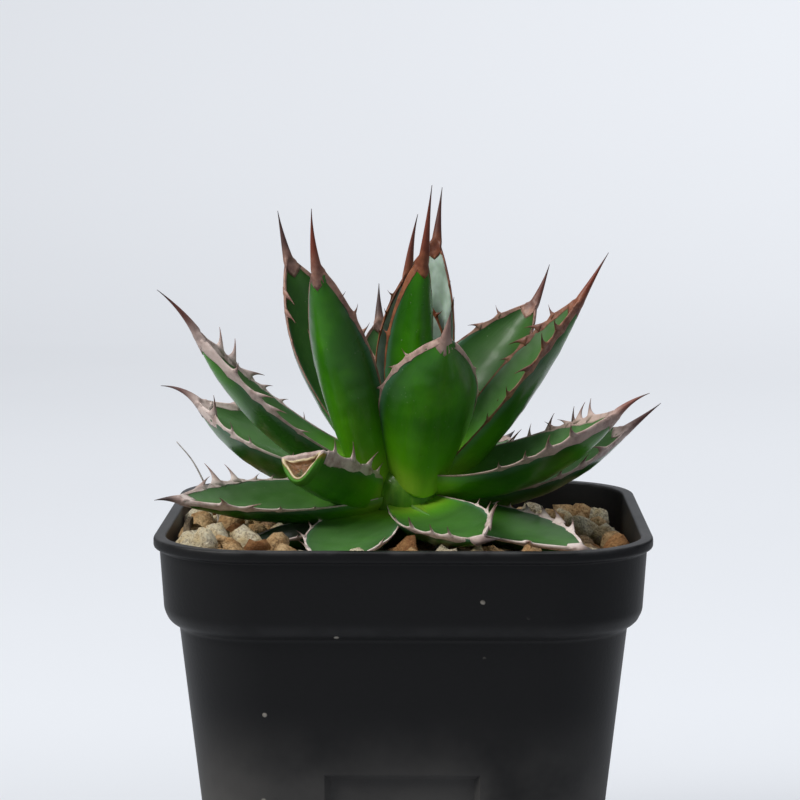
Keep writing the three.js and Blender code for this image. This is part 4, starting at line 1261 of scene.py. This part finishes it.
GRIT_TREE = grit_tree()
for layer, (low, smallest, largest, spacing) in enumerate(((0, 1.5, 2.2, 3.4), (1.5, 2.1, 3.3, 5.2))):
    halves = [GRAIN_HALF * (1 - step / GRAIN_RINGS) + 0.02 for step in range(GRAIN_RINGS)]
    rings = [rounded_square(half, half * BED_CORNER, BED_TOP + low, BED_POINTS) for half in halves]
    for ring in rings:
        for point in ring:
            point.z += bed_rise(point.x / MM, point.y / MM) * MM
    grains = mesh_object(f"grit_layer_{layer + 1}", *loft(rings, close_start=False))
    run_tree(grains, GRIT_TREE, {"Leaves": guard, "Spacing": spacing * MM, "Smallest": smallest * MM,
                                 "Largest": largest * MM, "Clearance": 0.95, "Seed": GRAIN_SEED + 40 * layer,
                                 "Finish": GRIT})
    finish_piece(grains, "grit")
    print(grains.name, len(grains.data.polygons), "faces")
bpy.data.objects.remove(guard)

# %% [markdown]
# ## Small things in the pot
# A grey chip of bark leans against the left wall, and a dry grass fibre stands in the grit. Both are
# built directly: a rough little slab, and a thin tube along five points.

# %% The fibre
FIBRE_PATH = [(-35.6, 2, 72), (-35.7, 2, 79), (-38.2, 2.5, 85), (-40.6, 3, 89.5), (-43.6, 3.6, 93)]


def dry_finish(name, light, dark):
    material, where = start_finish(name, Roughness=0.85, Specular_IOR_Level=0.25)
    grain = noise_of(where * (2600.0, 2600.0, 500.0), 1.0, 3, 0.65)
    return end_finish(material, blend(light, dark, smooth(grain, 0.35, 0.7)), grain, 0.0001)


def tube_along(path, radii, round_points=10):
    """Rings of a tube round a path of points in metres."""
    rings = []
    for index, (point, radius) in enumerate(zip(path, radii)):
        ahead = (path[min(index + 1, len(path) - 1)] - path[max(index - 1, 0)]).normalized()
        side = ahead.cross(Vector((0, 1, 0))).normalized()
        other = ahead.cross(side)
        rings.append([point + (side * cos(a) + other * sin(a)) * radius
                      for a in (2 * pi * step / round_points for step in range(round_points))])
    return rings


def curve_through(points, steps):
    """More points, on a smooth curve that passes through the given ones."""
    ends = [points[0] * 2 - points[1], *points, points[-1] * 2 - points[-2]]
    result = []
    for before, start, end, after in zip(ends, ends[1:], ends[2:], ends[3:]):
        for step in range(steps):
            t = step / steps
            result.append(0.5 * (2 * start + (end - before) * t
                                 + (2 * before - 5 * start + 4 * end - after) * t * t
                                 + (3 * start - before - 3 * end + after) * t ** 3))
    return [*result, points[-1]]


fibre_points = curve_through([Vector(place) * MM for place in FIBRE_PATH], 10)
fibre_radii = [(0.26 - 0.17 * index / len(fibre_points)) * MM for index in range(len(fibre_points))]
fibre = mesh_object("dry_fibre_strand", *loft(tube_along(fibre_points, fibre_radii)),
                    dry_finish("fibre_dry", (196, 190, 184), (146, 138, 132)))
finish_piece(fibre, "dry_fibre", "dry_fibre")
print("fibre:", len(fibre.data.polygons), "faces")

# %% The bark chip
CHIP_SIZE = (1.6, 5.2, 10)
CHIP_PLACE = (-40, -17, 76.6)
CHIP_SEED = 7

chip_mesh = bmesh.new()
bmesh.ops.create_cube(chip_mesh, size=1)
bmesh.ops.subdivide_edges(chip_mesh, edges=chip_mesh.edges, cuts=9, use_grid_fill=True)
noise.seed_set(CHIP_SEED)  # noise_vector is shifted by the seed, and by the clock without one
for vertex in chip_mesh.verts:
    pinch = 1 - 0.45 * abs(2 * vertex.co.z) ** 2
    place = Vector((vertex.co.x * CHIP_SIZE[0] * pinch, vertex.co.y * CHIP_SIZE[1] * pinch,
                    vertex.co.z * CHIP_SIZE[2])) * MM
    place += noise.noise_vector(place * 420) * 0.5 * MM
    place = Matrix.Rotation(radians(6), 3, "Y") @ Matrix.Rotation(radians(8), 3, "X") @ place
    vertex.co = place + Vector(CHIP_PLACE) * MM
bmesh.ops.recalc_face_normals(chip_mesh, faces=chip_mesh.faces)
chip = object_from("bark_chip", chip_mesh)
chip.data.materials.append(dry_finish("bark_grey", (150, 134, 112), (66, 56, 46)))
finish_piece(chip, "grit")
print("chip:", len(chip.data.polygons), "faces")

# %% [markdown]
# ## Floor and light
# The studio is a plain pale floor that curves up into a pale wall far behind the plant, so that no
# line shows. One large soft light stands at the upper left, a weaker one fills the right side, and
# the pale surroundings light the rest. A photographer lights the background apart from the plant, so
# the paper also glows a little by itself in the part that lies behind it.

# %% The studio
def studio_floor():
    material, where = start_finish(
        "studio_paper", Roughness=0.9, Specular_IOR_Level=0.2, Emission_Color=tone(225, 228, 233))
    shader = tree.nodes["Principled BSDF"]
    put(shader.inputs["Base Color"], blend((150, 153, 158), (158, 161, 166), noise_of(where, 4, 2)))
    across, away, _ = split(where)
    glow = smooth(away, 0.3, 0.8) * 0.04 + smooth(away, 0.95, 1.9) * 0.17 + across * 0.2 + 0.70
    aside = absolute(across) / larger(away + 0.62, 0.1)
    in_view = smooth(away, -0.25, 0.2) * (1 - smooth(aside, 0.2, 0.42))
    put(shader.inputs["Emission Strength"], glow * in_view)
    rows = []
    for x in (-3, 3):
        row = [Vector((x, -1.5, 0)), Vector((x, 1.2, 0))]
        row += [Vector((x, 1.2 + sin(a), 1 - cos(a)))
                for a in (radians(90) * step / 16 for step in range(1, 17))]
        row.append(Vector((x, 2.2, 3)))
        rows.append(row)
    count = len(rows[0])
    faces = [(i, count + i, count + i + 1, i + 1) for i in range(count - 1)]
    return mesh_object("studio_floor", rows[0] + rows[1], faces, material)


def soft_light(name, place, size, power, colour):
    lamp = bpy.data.lights.new(name, "AREA")
    lamp.shape = "DISK"
    lamp.size = size
    lamp.energy = power
    lamp.color = tone(*colour)[:3]
    made = bpy.data.objects.new(name, lamp)
    made.location = place
    aim = Vector((0, 0, 0.09)) - Vector(place)
    made.rotation_euler = aim.to_track_quat("-Z", "Y").to_euler()
    scene.collection.objects.link(made)
    return made


scene.view_settings.view_transform = "Standard"
studio_floor()
soft_light("key_light", (-0.7, -0.35, 0.85), 0.6, 10, (255, 253, 248))
soft_light("fill_light", (1.0, -0.6, 0.5), 0.9, 0.9, (242, 247, 255))
soft_light("top_light", (0.15, 0.05, 1.2), 0.8, 5.5, (248, 250, 255))

world = bpy.data.worlds.new("studio_air")
world.use_nodes = True
world.node_tree.nodes["Background"].inputs["Color"].default_value = tone(226, 231, 240)
world.node_tree.nodes["Background"].inputs["Strength"].default_value = 0.13
scene.world = world
